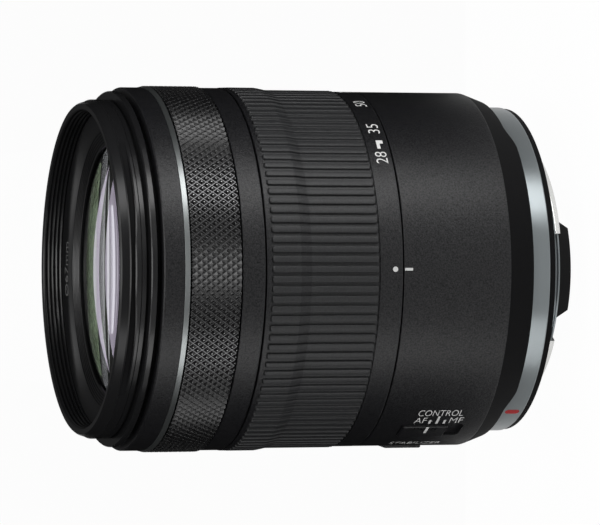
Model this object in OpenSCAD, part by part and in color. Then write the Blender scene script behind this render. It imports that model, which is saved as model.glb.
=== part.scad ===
// Retractable standard zoom lens in its stored position.
// Origin: centre of the mount flange face. +Z: optical axis, towards the subject.
// The side with the zoom scale and index line faces -Y.

/* [Barrel radii] */
// Radius of the rear barrel, the datum of the outside rings
body_r = 37.42; // [37:0.01:39]
// Wall of the rear barrel shell
shell_wall = 1.32; // [1.1:0.01:1.5]
// Wall of the fixed main barrel
main_wall = 1; // [0.8:0.05:1.2]
// Wall of the extending inner barrel
inner_wall = 1.2; // [1:0.05:1.4]
// Wall of the cam barrel
cam_wall = 1; // [0.8:0.05:1.2]
// Wall of the guide tube
guide_wall = 1; // [0.8:0.05:1.2]
// Wall of the zoom ring under the grip
core_wall = 0.8; // [0.6:0.05:0.9]
// Height of the front of the grip above the rear barrel
grip_rise = 0.68; // [0.4:0.01:1.2]
// Height of the rear of the grip above the rear barrel
grip_rear_rise = 0.21; // [0.1:0.01:0.6]
// Height of the control ring above the rear barrel
control_rise = 0.83; // [0.5:0.01:1.5]
// Height of the smooth ring above the rear barrel
smooth_rise = 0.53; // [0.2:0.01:1]
// Height of the front ring above the rear barrel
front_rise = 0.48; // [0.2:0.01:1]
// How far the lip of the inner barrel lies inside the rear barrel's radius
lip_drop = 0.32; // [0.1:0.01:1]

/* [Lengths along the axis] */
// Front edge of the rear barrel above the flange face
rear_top = 33.2; // [32.8:0.1:36]
// Length of the zoom scale band
scale_len = 4.8; // [4:0.1:6]
// Length of the rubber grip
grip_len = 23.2; // [22:0.1:28]
// Length of the rim in front of the grip
rim_len = 0.95; // [0.6:0.05:2]
// Length of the smooth ring
smooth_len = 4.75; // [3.5:0.05:6]
// Length of the control ring
control_len = 10.5; // [9:0.1:13]
// Length of the accent ring
accent_len = 1; // [0.7:0.05:2]
// Length of the fixed front ring
front_ring_len = 4.4; // [3.5:0.1:6]
// Gap between the front ring and the lip in the stored position
lip_gap = 1.1; // [0.6:0.1:2]
// Thickness of the lip of the inner barrel
lip_len = 1.3; // [1:0.1:2]
// Length of the filter ring in front of the lip
filter_len = 5.8; // [5.2:0.1:8]

/* [Mount] */
// How far the mount ring lies inside the rear barrel's radius
mount_step = 2.97; // [2.8:0.01:3.4]
// Height of the mount ring
mount_h = 6; // [5.6:0.1:6.6]
// Thickness of the flange plate
flange_t = 2.4; // [2:0.1:2.8]
// Wall of the mount ring's rim
rim_wall = 3; // [2.6:0.1:3.2]
// Width of the mount ring outside the bayonet tube
flange_w = 9.85; // [9.4:0.05:10.2]
// Wall of the bayonet tube
bayonet_wall = 1.6; // [1.2:0.05:1.7]
// Length of the bayonet tube behind the flange face
bayonet_len = 5; // [4.6:0.1:5.2]
// How far the bayonet lugs stand out of the tube
lug_out = 2.3; // [1.6:0.05:2.6]
// Thickness of the bayonet lugs
lug_t = 1.1; // [0.8:0.05:1.3]
// Half angle of a bayonet lug in degrees
lug_half = 35; // [20:1:40]
// Number of mount screws
screw_n = 4; // [3:1:5]
// Radius of a mount screw's head
screw_head_r = 1.6; // [1.4:0.05:1.8]
// Radius of a mount screw's shank
screw_r = 0.9; // [0.7:0.05:1]

/* [Filter thread and front glass] */
// How far the filter thread's bore lies inside the rear barrel's radius
filter_step = 4.32; // [4.1:0.01:4.5]
// Wall of the filter ring outside its thread
filter_wall = 2.2; // [1.8:0.05:2.4]
// Depth of the filter thread
filter_depth = 4.15; // [3.6:0.05:4.4]
// Wall of the front cell outside the front glass
cell_wall = 3; // [2.6:0.1:3.6]
// Radius of curvature of the front glass
glass_rc = 124; // [110:1:160]

/* [Moving rings and cams] */
// Turn of the zoom ring from stored to the long end in degrees
zoom_turn = 88; // [70:1:90]
// Travel of the variator towards the rear
variator_travel = 5; // [3:0.1:5.2]
// Radius of a cam roller
roller_r = 1.5; // [1.1:0.05:1.6]
// Number of ribs round the grip
rib_n = 116; // [60:1:130]
// Width of the groove between two ribs
groove_w = 0.55; // [0.3:0.05:0.8]
// Depth of the groove between two ribs
groove_d = 0.45; // [0.2:0.05:0.5]
// Number of knurled bands on the control ring
knurl_bands = 5; // [3:1:7]

/* [Switches] */
// Width of a switch recess
recess_w = 5.5; // [4.5:0.1:6]
// Depth of a switch recess at its middle
recess_d = 0.72; // [0.5:0.02:0.9]
// Length of the focus mode switch's recess
mode_len = 13.6; // [12:0.1:15]
// Travel of the focus mode switch
mode_travel = 3.2; // [2:0.1:4]
// Length of the stabiliser switch's recess
stab_len = 11.4; // [10:0.1:13]
// Travel of the stabiliser switch
stab_switch_travel = 2.8; // [2:0.1:3.5]
// Height of the switch knobs above the barrel
knob_rise = 0.5; // [0.2:0.05:1]

/* [Iris, stabiliser and focus] */
// Wall of the iris housing outside its drive ring
iris_wall = 4.4; // [4.2:0.1:4.8]
// Width of a blade's band
blade_w = 6; // [5.4:0.1:6.4]
// Thickness of a blade
blade_t = 0.15; // [0.1:0.01:0.18]
// Turn of a blade from open to closed in degrees
blade_turn = 25; // [18:1:26]
// Turn of the iris drive ring in degrees
iris_turn = 30; // [24:1:31]
// Travel of the stabiliser lens to each side
shift_travel = 0.8; // [0.4:0.05:0.9]
// Travel of the focus group
focus_travel = 4.5; // [3:0.1:4.8]
// Radius of the focus guide rods
rod_r = 1; // [0.8:0.05:1.2]
// Radius of the focus motor's yoke rod
yoke_r = 1.2; // [1:0.05:1.3]

/* [Hidden] */
$fn = 128;
fit_gap = 0.1;        // between pieces of one body
slip_gap = 0.05;      // round pins, rods and seated rings
run_gap = 0.2;        // between tubes that turn or slide in each other
barrel_gap = 0.4;     // round the inner barrel
seam = 0.3;           // between rings that turn past each other
cell_gap = 0.5;       // round the lens cells in the guide tube
slot_gap = 0.15;      // on each side of a roller in its slot
over = 1;             // how far a cutter stands out of what it cuts
edge = 0.4;           // small edge bevel

// Radii, from the outside in
shell_in = body_r - shell_wall;
main_r = shell_in - fit_gap;
main_in = main_r - main_wall;
inner_r = main_in - barrel_gap;
inner_in = inner_r - inner_wall;
cam_r = inner_in - run_gap;
cam_in = cam_r - cam_wall;
guide_r = cam_in - run_gap;
guide_in = guide_r - guide_wall;
bay_r = guide_in - fit_gap;
cell_r = guide_in - cell_gap;
ring_in = main_r + run_gap;
core_r = ring_in + core_wall;
seat_in = main_r + slip_gap;
control_r = body_r + control_rise;
lip_r = body_r - lip_drop;
filter_bore_r = body_r - filter_step;
filter_r = filter_bore_r + filter_wall;
mount_r = body_r - mount_step;
bayonet_r = mount_r - flange_w;
lug_r = bayonet_r + lug_out;

// Heights, from the flange forwards
deck_t = 3;
frame_z = mount_h;
deck_z = frame_z + deck_t;
seat_z = deck_z + 1.4;
skirt_z = mount_h - 1.5;
chamfer_z = seat_z - 0.2;
scale_z = rear_top + seam;
grip_z = scale_z + scale_len;
rim_z = grip_z + grip_len;
zoom_top = rim_z + rim_len;
smooth_z = zoom_top + seam;
control_z = smooth_z + smooth_len + seam;
accent_z = control_z + control_len + seam;
front_z = accent_z + accent_len;
front_top = front_z + front_ring_len;
lip_z = front_top + lip_gap;
filter_z = lip_z + lip_len;
front_end = filter_z + filter_len;
thread_z = front_end - filter_depth;
front_lip = 0.9;      // thickness of the front ring's inward lip
main_top = front_top - front_lip;

// Mount details
tube_in = bayonet_r - bayonet_wall;
gasket_seat_r = mount_r - 0.85;
gasket_seat_h = 0.6;
gasket_drop = 0.6;
screw_pcr = (gasket_seat_r + bayonet_r) / 2;
baffle_gap = 3;       // between the bayonet tube and the rear baffle
baffle_r = tube_in - baffle_gap;
lug_z = -bayonet_len + 0.4;
lug_first = -39;      // middle of the first lug, in degrees
lug_n = 3;
head_t = 1;
screw_first = 45;
skirt_in = mount_r + 0.15;
skirt_r = skirt_in + 0.7;
tongue_half = 47;     // half angle of the skirt's tongue
tongue_slope = 8;     // angle over which the skirt rises beside it
collar_h = 2.6;
collar_wall = 1.2;

// Cam drive: keys, followers and slots
key_h = 3.2;
key_half = 3;
key_z = grip_z - 0.9;
key_n = 3;
key_first = 44;
inner_z = key_z + key_h + 1;
roller_z = inner_z + 2.4;
front_flange_z = lip_z - 5.7;
front_flange_t = 2;
cam_top = front_flange_z - 1.4;
slot_margin = 4;
zoom_travel = cam_top - slot_margin - roller_z;
variator_z = roller_z - slot_margin;
cam_z = variator_z - variator_travel - slot_margin;
slot_w = roller_r + slot_gap;
roller_n = 3;
variator_first = 60;
slot_steps = 22;

// Front group
cell_top = thread_z - 2.8;
glass_rim_r = cell_r - cell_wall;
glass_lip = 1.3;      // width of the rim that holds a front glass
glass_r = glass_rim_r - glass_lip;
glass_z = cell_top - slip_gap + sag(glass_rc, glass_r);
front_seat_z = cell_top - 4.65;
front_cell_z = cell_top - 16.85;
retainer_t = 1.9;
second_rc_front = 160;
second_rc_back = 70;

// Middle stack, from the deck forwards
focus_z = deck_z + 3.6;
focus_h = 6;
stack_gap = 0.9;      // beside the middle frame and the stabiliser
slide_gap = 0.3;      // between plates that slide past each other
mid_z = focus_z + focus_h + focus_travel + stack_gap;
mid_t = 1.2;
shift_z = mid_z + mid_t + slide_gap;
shift_t = 0.9;
lens_frame_z = shift_z + shift_t + slide_gap;
lens_frame_t = 1;
iris_z = lens_frame_z + lens_frame_t + stack_gap;
iris_base_t = 0.8;
blade_n = 9;          // one node is listed for each blade
blade_z = iris_z + iris_base_t + fit_gap;
blade_gap = 0.09;
blade_pitch = blade_t + blade_gap;
iris_ring_z = blade_z + blade_n * blade_pitch + fit_gap;
iris_ring_t = 0.6;
iris_top = iris_ring_z + iris_ring_t;

// Iris
iris_ring_r = bay_r - iris_wall;
pivot_r = iris_ring_r - 5;
pivot_margin = 2.3;   // between a blade's band and its pivot
iris_r = pivot_r - pivot_margin - blade_w;
blade_span = 92;
pivot_pin_r = 0.5;
drive_arm = 3;
drive_pin_r = 0.45;
drive_slot_w = drive_pin_r + slot_gap;
tab_r = 1.1;
iris_ring_in = pivot_r - 1.5;
ledge_r = iris_ring_r - 1.3;
actuator_half = 13;
actuator_mid = 20;
actuator_wall = 0.6;  // left of the housing outside the actuator
path_steps = 8;

// Stabiliser
stab_lens_r = iris_r - 1.4;
shift_in = stab_lens_r + 4;
coil_end = bay_r - shift_travel - 2 * run_gap;
magnet_r = coil_end - 4.4;
magnet_len = 3.8;
shift_r = magnet_r - shift_travel - run_gap;
post_r = 0.8;
post_pcr = shift_in + 2.6;
lens_frame_r = post_pcr + 2.6;
magnet_w = 8;
magnet_t = 0.7;
coil_w = 6;
coil_len = 3.9;
coil_t = 0.6;
coil_wall = 1.3;

// Focus group and rear group
rod_step = 5.9;       // between the guide tube's bore and the rods
rod_pcr = bay_r - rod_step;
rod_seat = 2;         // depth of the rods' holes in the deck
cap_t = 0.3;          // left over the blind holes of the middle frame
focus_lens_r = iris_r + 1.7;
focus_cell_r = focus_lens_r + 2.6;
arm_z = focus_z + 2.4;
arm_h = 2.6;
arm_w = 5;
yoke_w = 5.2;
yoke_t = 0.8;
yoke_back = rod_pcr + 5;
motor_magnet_t = 1;
motor_coil_h = 2.2;
motor_coil_r = yoke_r + 1;
rear_lens_r = baffle_r - 4;
rear_cell_r = rear_lens_r + 2.4;
rear_cell_z = deck_z - 6;
rear_seat_z = rear_cell_z + 2.4;
rear_flange_r = rear_cell_r + 2;
rear_flange_t = 1;

// Rear baffle, contacts and board
baffle_wall = 1.4;
baffle_plate = 1;
baffle_hole_r = rear_lens_r - 0.8;
baffle_end = -5.5;
tongue_end = -9;
tongue_tip_half = 25.5;
tongue_base_half = 34;
contact_half = 32;
contact_n = 10;
contact_margin = 5;   // degrees between the last contact and the block's end
contact_len = 2;
contact_pin_r = 0.5;
contact_z = -bayonet_len + 0.7;
contact_pcr = (baffle_r + tube_in) / 2 + 0.15;
board_t = 1.2;
chip_t = 0.8;

// Variator
variator_step = 13.5; // how far the variator's glass lies inside its skirt
variator_lens_r = cell_r - variator_step;
variator_wall = 2.45;
skirt_wall = 2;
variator_end = variator_z - 2.4;
web_z = variator_end + 6.4;
web_t = 2;
variator_rear_z = web_z - 0.7;
variator_len = 22.4;
variator_front_z = variator_end + variator_len;
spacer_z = variator_rear_z + 3.3;
spacer_h = 3.7;
spacer_wall = 1.15;
spacer_r = variator_lens_r + slip_gap - spacer_wall;

// Switches
mode_angle = -154;
mode_end = 5.4;       // from the recess to the front edge of the rear barrel
mode_z = rear_top - mode_end - mode_len;
stab_angle = 176;
stab_end = 7.2;
stab_z = rear_top - stab_end - stab_len;
switch_gap = 0.3;
stem_w = 1.8;
stem_len = 3;
corner_r = 0.8;
switch_base_t = 1.2;
switch_base_w = 6;

// A profile of [radius, height] points turned round the axis
module revolve(points) {
  rotate_extrude() polygon(points);
}

// A plain ring
module tube(r_out, r_in, z0, z1) {
  revolve([[r_in, z0], [r_out, z0], [r_out, z1], [r_in, z1]]);
}

// A piece of a ring, half degrees to each side of the angle mid
module arc_tube(r_out, r_in, z0, z1, mid, half) {
  rotate([0, 0, mid - half])
    rotate_extrude(angle = 2 * half)
      polygon([[r_in, z0], [r_out, z0], [r_out, z1], [r_in, z1]]);
}

// Copies spaced evenly round the axis
module ring_of(n, first = 0) {
  for (i = [0 : n - 1]) rotate([0, 0, first + i * 360 / n]) children();
}

// A pin from radius r0 to r1 at the height z
module radial_pin(r0, r1, z, r) {
  translate([r0, 0, z]) rotate([0, 90, 0]) cylinder(r = r, h = r1 - r0);
}

// A cutter for a straight slot along the axis, with round ends
module straight_slot(r0, r1, z0, z1, half_w) {
  translate([r0, -half_w, z0]) cube([r1 - r0, 2 * half_w, z1 - z0]);
  radial_pin(r0, r1, z0, half_w);
  radial_pin(r0, r1, z1, half_w);
}

// Corners of a helical slot's section at the fraction f of its length
function slot_corners(r0, r1, z0, lift, turn, half_w, f) =
  let (
    mid_r = (r0 + r1) / 2,
    run = mid_r * turn * PI / 180,
    len = sqrt(run * run + lift * lift),
    da = half_w * lift / len / mid_r * 180 / PI,
    dz = half_w * run / len,
    a = turn * f,
    z = z0 + lift * f
  )
  [for (c = [[r0, 1], [r1, 1], [r1, -1], [r0, -1]])
    [c[0] * cos(a - c[1] * da), c[0] * sin(a - c[1] * da), z + c[1] * dz]];

// A cutter for a helical slot that rises by lift over turn degrees, with round ends
module helical_slot(r0, r1, z0, lift, turn, half_w) {
  points = [for (i = [0 : slot_steps])
    each slot_corners(r0, r1, z0, lift, turn, half_w, i / slot_steps)];
  sides = [for (i = [0 : slot_steps - 1], k = [0 : 3])
    let (a = 4 * i + k, b = 4 * i + (k + 1) % 4)
    each [[a, b + 4, b], [a, a + 4, b + 4]]];
  last = 4 * slot_steps;
  ends = [[0, 1, 2], [0, 2, 3], [last, last + 2, last + 1], [last, last + 3, last + 2]];
  polyhedron(points, concat(sides, ends));
  radial_pin(r0, r1, z0, half_w);
  rotate([0, 0, turn]) radial_pin(r0, r1, z0 + lift, half_w);
}

// A bar along the axis with round corners, from x0 to x1
module rounded_bar(x0, x1, w, z0, len, r) {
  translate([x0, -w / 2, z0 + r]) cube([x1 - x0, w, len - 2 * r]);
  translate([x0, -w / 2 + r, z0]) cube([x1 - x0, w - 2 * r, len]);
  for (y = [-w / 2 + r, w / 2 - r], z = [z0 + r, z0 + len - r])
    translate([x0, y, z]) rotate([0, 90, 0]) cylinder(r = r, h = x1 - x0);
}

// A lens between two surfaces. A positive curvature is convex, a negative one concave, 0 is flat.
module glass(rim_r, front, front_rc, back, back_rc) {
  reach = 12;
  difference() {
    intersection() {
      translate([0, 0, back - (back_rc < 0 ? reach : 0)])
        cylinder(r = rim_r, h = front - back + (back_rc < 0 ? reach : 0) + (front_rc < 0 ? reach : 0));
      if (front_rc > 0) translate([0, 0, front - front_rc]) sphere(r = front_rc, $fn = 240);
      if (back_rc > 0) translate([0, 0, back + back_rc]) sphere(r = back_rc, $fn = 240);
    }
    if (front_rc < 0) translate([0, 0, front - front_rc]) sphere(r = -front_rc, $fn = 240);
    if (back_rc < 0) translate([0, 0, back + back_rc]) sphere(r = -back_rc, $fn = 240);
  }
}

// Depth of a surface of curvature rc at the radius r
function sag(rc, r) = rc - sqrt(rc * rc - r * r);

// Mount

module mount_plate() {
  color("silver") difference() {
    union() {
      revolve([[tube_in, -bayonet_len], [bayonet_r, -bayonet_len], [bayonet_r, 0], [gasket_seat_r, 0],
        [gasket_seat_r, gasket_seat_h], [mount_r, gasket_seat_h], [mount_r, mount_h],
        [mount_r - rim_wall, mount_h], [mount_r - rim_wall, flange_t], [tube_in, flange_t]]);
      for (i = [0 : lug_n - 1])
        arc_tube(lug_r, bayonet_r - over / 2, lug_z, lug_z + lug_t, lug_first + i * 360 / lug_n, lug_half);
    }
    ring_of(screw_n, screw_first) translate([screw_pcr, 0, 0]) {
      translate([0, 0, -over]) cylinder(r = screw_head_r + fit_gap, h = head_t + fit_gap + over);
      cylinder(r = screw_r + fit_gap, h = flange_t + over);
    }
  }
}

module mount_screws() {
  slot_d = 0.45;
  slot_l = screw_head_r * 1.2;
  slot_t = 0.4;
  color("lightgray") ring_of(screw_n, screw_first) translate([screw_pcr, 0, 0]) difference() {
    union() {
      translate([0, 0, fit_gap]) cylinder(r = screw_head_r, h = head_t);
      cylinder(r = screw_r, h = frame_z + deck_t - 1);
    }
    translate([0, 0, -over]) cylinder(r = screw_head_r, h = fit_gap + over);
    for (a = [0, 90]) rotate([0, 0, a])
      translate([-slot_l / 2, -slot_t / 2, 0]) cube([slot_l, slot_t, fit_gap + slot_d]);
  }
}

module mount_gasket() {
  color("black") revolve([[gasket_seat_r + slip_gap, gasket_seat_h - slip_gap],
    [gasket_seat_r + slip_gap, -gasket_drop / 3], [mount_r - 0.6, -gasket_drop],
    [mount_r - 0.3, -gasket_drop], [mount_r - 0.15, gasket_seat_h - slip_gap]]);
}

module rear_baffle() {
  wall_top = rear_cell_z;
  tip_x = baffle_r * sin(tongue_tip_half);
  base_x = baffle_r * sin(tongue_base_half);
  color("black") {
    revolve([[baffle_r - baffle_wall, baffle_end], [baffle_r, baffle_end], [baffle_r, wall_top],
      [baffle_hole_r, wall_top], [baffle_hole_r, wall_top - baffle_plate],
      [baffle_r - baffle_wall, wall_top - baffle_plate]]);
    intersection() {
      tube(baffle_r, baffle_r - baffle_wall, tongue_end, baffle_end);
      rotate([90, 0, 0]) linear_extrude(height = 2 * baffle_r + 2 * over, center = true)
        polygon([[-tip_x, tongue_end], [tip_x, tongue_end], [base_x, baffle_end], [-base_x, baffle_end]]);
    }
  }
}

module contact_places() {
  reach = contact_half - contact_margin;
  step = 2 * reach / (contact_n - 1);
  for (i = [0 : contact_n - 1])
    rotate([0, 0, 90 - reach + i * step]) translate([contact_pcr, 0, 0]) children();
}

module contact_block() {
  color("dimgray") difference() {
    arc_tube(tube_in - fit_gap, baffle_r + barrel_gap, contact_z, flange_t, 90, contact_half);
    contact_places() translate([0, 0, contact_z - over])
      cylinder(r = contact_pin_r + slip_gap / 2, h = over + contact_len);
  }
}

module contact_pins() {
  color("gold") contact_places() translate([0, 0, contact_z - contact_pin_r / 2])
    cylinder(r = contact_pin_r, h = contact_len + contact_pin_r / 2);
}

module main_board() {
  board_r = mount_r - rim_wall - barrel_gap;
  chip_r = (board_r + bayonet_r) / 2;
  chip_w = (board_r - bayonet_r) * 0.6;
  color("darkgreen") difference() {
    union() {
      tube(board_r, bayonet_r, frame_z - board_t, frame_z);
      ring_of(screw_n, screw_first + 180 / screw_n)
        translate([chip_r, 0, frame_z - board_t - chip_t / 2])
          cube([chip_w, 1.5 * chip_w, chip_t + slip_gap], center = true);
    }
    ring_of(screw_n, screw_first) translate([screw_pcr, 0, frame_z - board_t - over])
      cylinder(r = screw_r + seam, h = board_t + 2 * over);
  }
}

// Fixed barrels

module rod_places() {
  for (a = [90, 270]) rotate([0, 0, a]) translate([rod_pcr, 0, 0]) children();
}

module rear_frame() {
  collar_r = main_in - fit_gap;
  color("gray") difference() {
    revolve([[rear_cell_r + fit_gap, frame_z], [mount_r, frame_z], [mount_r, seat_z], [collar_r, seat_z],
      [collar_r, seat_z + collar_h], [collar_r - collar_wall, seat_z + collar_h],
      [collar_r - collar_wall, deck_z], [rear_cell_r + fit_gap, deck_z]]);
    rod_places() translate([0, 0, deck_z - rod_seat])
      cylinder(r = rod_r + slip_gap / 2, h = rod_seat + over);
    ring_of(screw_n, screw_first) translate([screw_pcr, 0, frame_z - over])
      cylinder(r = screw_r + slip_gap, h = over + deck_t - 0.8);
  }
}

// The recess of a switch in the rear barrel, and the slot for its stem down through the main barrel
module switch_cut(angle, z0, len, travel) {
  floor_x = body_r - recess_d;
  knob_len = len - travel - 2 * switch_gap;
  stem_z = z0 + switch_gap + (knob_len - stem_len) / 2;
  rotate([0, 0, angle]) {
    rounded_bar(floor_x, body_r + over, recess_w, z0, len, corner_r);
    translate([main_in - over, -stem_w / 2 - switch_gap, stem_z - switch_gap])
      cube([body_r - main_in + 2 * over, stem_w + 2 * switch_gap, stem_len + travel + 2 * switch_gap]);
  }
}

module switch_cuts() {
  switch_cut(mode_angle, mode_z, mode_len, mode_travel);
  switch_cut(stab_angle, stab_z, stab_len, stab_switch_travel);
}

// The part of the skirt that is cut back outside the tongue
module skirt_cut() {
  ramp = skirt_r * tan(tongue_slope / 2);
  arc_tube(skirt_r + over, skirt_in - over, skirt_z - over, mount_h, 90, 180 - tongue_half - tongue_slope);
  for (s = [-1, 1]) rotate([0, 0, -90 + s * (tongue_half + tongue_slope / 2)])
    rotate([90, 0, 90]) linear_extrude(height = skirt_r + over)
      polygon([[-s * ramp, skirt_z - over], [-s * ramp, skirt_z], [s * ramp, mount_h],
        [s * (ramp + over), mount_h], [s * (ramp + over), skirt_z - over]]);
}

module rear_barrel() {
  color("#2a2a2b") difference() {
    revolve([[skirt_in, skirt_z], [skirt_r, skirt_z], [body_r, chamfer_z], [body_r, rear_top - edge],
      [body_r - edge, rear_top], [shell_in, rear_top], [shell_in, seat_z], [skirt_in, seat_z]]);
    skirt_cut();
    switch_cuts();
  }
}

module main_barrel() {
  color("dimgray") difference() {
    tube(main_r, main_in, seat_z, main_top);
    for (i = [0 : key_n - 1])
      arc_tube(main_r + over, main_in - over, key_z - seam, key_z + key_h + seam,
        key_first + i * 360 / key_n - zoom_turn / 2, zoom_turn / 2 + key_half + 1);
    switch_cuts();
  }
}

module guide_tube() {
  stop_t = 1.2;
  color("gray") difference() {
    union() {
      tube(guide_r, guide_in, deck_z, cam_top);
      tube(cam_r, guide_in, cam_z - seam - stop_t, cam_z - seam);
    }
    ring_of(roller_n)
      straight_slot(guide_in - over, guide_r + over, roller_z, roller_z + zoom_travel, slot_w);
    ring_of(roller_n, variator_first)
      straight_slot(guide_in - over, guide_r + over, variator_z - variator_travel, variator_z, slot_w);
  }
}

module cam_barrel() {
  color("darkgray") difference() {
    tube(cam_r, cam_in, cam_z, cam_top);
    ring_of(roller_n)
      helical_slot(cam_in - over, cam_r + over, roller_z, zoom_travel, zoom_turn, slot_w);
    ring_of(roller_n, variator_first)
      helical_slot(cam_in - over, cam_r + over, variator_z, -variator_travel, zoom_turn, slot_w);
  }
}

// Outside rings

module zoom_keys() {
  color("silver") for (i = [0 : key_n - 1])
    arc_tube(ring_in, cam_r, key_z, key_z + key_h, key_first + i * 360 / key_n, key_half);
}

module zoom_ring() {
  scale_r = body_r + 0.02;
  rim_r = body_r + grip_rise - 0.05;
  color("#2b2b2c") revolve([[ring_in, scale_z], [scale_r - edge / 2, scale_z], [scale_r, scale_z + edge / 2],
    [scale_r, grip_z], [core_r, grip_z], [core_r, rim_z], [rim_r, rim_z], [rim_r, zoom_top - edge / 2],
    [rim_r - edge / 2, zoom_top], [ring_in, zoom_top]]);
}

module zoom_grip() {
  front_r = body_r + grip_rise;
  rear_r = body_r + grip_rear_rise;
  step_z = grip_z + grip_len * 0.57;
  step_end = grip_z + grip_len * 0.72;
  end_band = 0.9;
  color("#37383a") difference() {
    revolve([[core_r + slip_gap, grip_z], [rear_r - edge, grip_z], [rear_r, grip_z + edge],
      [rear_r, step_z], [front_r, step_end], [front_r, rim_z - edge / 2], [front_r - edge / 2, rim_z],
      [core_r + slip_gap, rim_z]]);
    ring_of(rib_n) rotate([90, 0, 0]) linear_extrude(height = groove_w, center = true)
      polygon([[rear_r - groove_d, grip_z + end_band], [rear_r - groove_d, step_z],
        [front_r - groove_d, step_end], [front_r - groove_d, rim_z - end_band],
        [front_r + over, rim_z - end_band], [front_r + over, grip_z + end_band]]);
  }
}

module smooth_ring() {
  r = body_r + smooth_rise;
  color("#2a2a2b") revolve([[seat_in, smooth_z], [r - edge / 2, smooth_z], [r, smooth_z + edge / 2],
    [r, smooth_z + smooth_len - edge / 2], [r - edge / 2, smooth_z + smooth_len],
    [seat_in, smooth_z + smooth_len]]);
}

module control_ring() {
  band = control_len / knurl_bands;
  groove = 0.4;
  teeth = [for (i = [0 : knurl_bands - 1]) each [
    [control_r - groove, control_z + i * band],
    [control_r, control_z + (i + 0.3) * band],
    [control_r, control_z + (i + 0.7) * band]]];
  color("#2d2d2e") revolve(concat([[ring_in, control_z]], teeth,
    [[control_r - groove, control_z + control_len], [ring_in, control_z + control_len]]));
}

module accent_ring() {
  r0 = body_r + control_rise;
  color("silver") revolve([[seat_in, accent_z], [r0, accent_z], [r0 - 0.25, accent_z + accent_len],
    [seat_in, accent_z + accent_len]]);
}

module front_ring() {
  r = body_r + front_rise;
  color("#2a2a2b") revolve([[seat_in, front_z], [r, front_z], [r, front_top - edge], [r - edge, front_top],
    [inner_r + seam, front_top], [inner_r + seam, main_top], [seat_in, main_top]]);
}

// Extending front barrel

module inner_barrel() {
  color("#202021") revolve([[inner_in, inner_z], [inner_r, inner_z], [inner_r, lip_z], [lip_r - edge, lip_z],
    [lip_r, lip_z + edge], [lip_r, filter_z - edge / 2], [lip_r - edge / 2, filter_z], [inner_in, filter_z]]);
}

module filter_ring() {
  tip = 0.7;
  groove_z = front_end - 3;
  groove_h = 0.9;
  groove_depth = 0.6;
  groove_half = 45;
  relief_r = filter_bore_r + 0.8;
  color("#222223") difference() {
    revolve([[relief_r, filter_z], [filter_r, filter_z], [filter_r, front_end - 2.2],
      [filter_r - tip, front_end], [filter_bore_r + edge, front_end], [filter_bore_r, front_end - edge],
      [filter_bore_r, thread_z], [relief_r, thread_z]]);
    for (a = [-90, 90])
      arc_tube(filter_r + over, filter_r - groove_depth, groove_z, groove_z + groove_h, a, groove_half);
  }
}

module name_ring() {
  r = filter_bore_r - 0.3;
  color("#1c1c1d") revolve([[glass_r, cell_top], [r, cell_top], [r, thread_z - slip_gap],
    [glass_r, cell_top + 0.45]]);
}

module front_cell() {
  color("#1a1a1b") revolve([[glass_r + slip_gap, front_cell_z], [cell_r, front_cell_z],
    [cell_r, front_flange_z], [inner_in - slip_gap, front_flange_z],
    [inner_in - slip_gap, front_flange_z + front_flange_t], [cell_r, front_flange_z + front_flange_t],
    [cell_r, cell_top], [glass_rim_r + slip_gap, cell_top], [glass_rim_r + slip_gap, front_seat_z],
    [glass_r + slip_gap, front_seat_z]]);
}

module front_element() {
  color("#8fa39b") glass(glass_rim_r, glass_z, glass_rc, front_seat_z, 0);
}

module second_element() {
  front = front_seat_z - sag(second_rc_front, glass_r) - 0.4;
  back = front_cell_z + retainer_t + sag(second_rc_back, glass_r) + slip_gap;
  color("#9fb0aa") glass(glass_r, front, -second_rc_front, back, -second_rc_back);
}

module front_retainer() {
  color("#1a1a1b") tube(glass_r, glass_r - 1.7, front_cell_z, front_cell_z + retainer_t);
}

module front_followers() {
  color("goldenrod") ring_of(roller_n)
    radial_pin(guide_in + fit_gap, inner_in - slip_gap, roller_z, roller_r);
}

// Variator

module variator_cell() {
  lens_r = variator_lens_r + slip_gap;
  wall_r = variator_lens_r + variator_wall;
  color("#1a1a1b") revolve([[cell_r - skirt_wall, variator_end], [cell_r, variator_end],
    [cell_r, web_z + web_t], [wall_r, web_z + web_t], [wall_r, variator_front_z],
    [lens_r, variator_front_z], [lens_r, spacer_z + spacer_h], [spacer_r, spacer_z + spacer_h],
    [spacer_r, spacer_z], [lens_r, spacer_z], [lens_r, variator_rear_z], [wall_r, variator_rear_z],
    [wall_r, web_z], [cell_r - skirt_wall, web_z]]);
}

module variator_front_element() {
  front_rc = 200;
  back_rc = 25;
  back = spacer_z + spacer_h + slip_gap + sag(back_rc, variator_lens_r);
  color("#9fb0aa") glass(variator_lens_r, variator_front_z - 1, front_rc, back, -back_rc);
}

module variator_rear_element() {
  front_rc = 40;
  front = spacer_z - slip_gap + sag(front_rc, spacer_r);
  color("#9fb0aa") glass(variator_lens_r, front, front_rc, variator_rear_z + run_gap, 0);
}

module variator_followers() {
  color("goldenrod") ring_of(roller_n, variator_first)
    radial_pin(cell_r + slip_gap, cam_r - run_gap, variator_z, roller_r);
}

// Stabiliser

module post_places(first) {
  for (a = [first, first + 180]) rotate([0, 0, a]) translate([post_pcr, 0, 0]) children();
}

// A slot for a post that lets it slide along X
module shift_slot(z0, h) {
  w = post_r + slip_gap;
  translate([-shift_travel - fit_gap, -w, z0]) cube([2 * shift_travel + 2 * fit_gap, 2 * w, h]);
  for (s = [-1, 1]) translate([s * (shift_travel + fit_gap), 0, z0]) cylinder(r = w, h = h);
}

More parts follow.
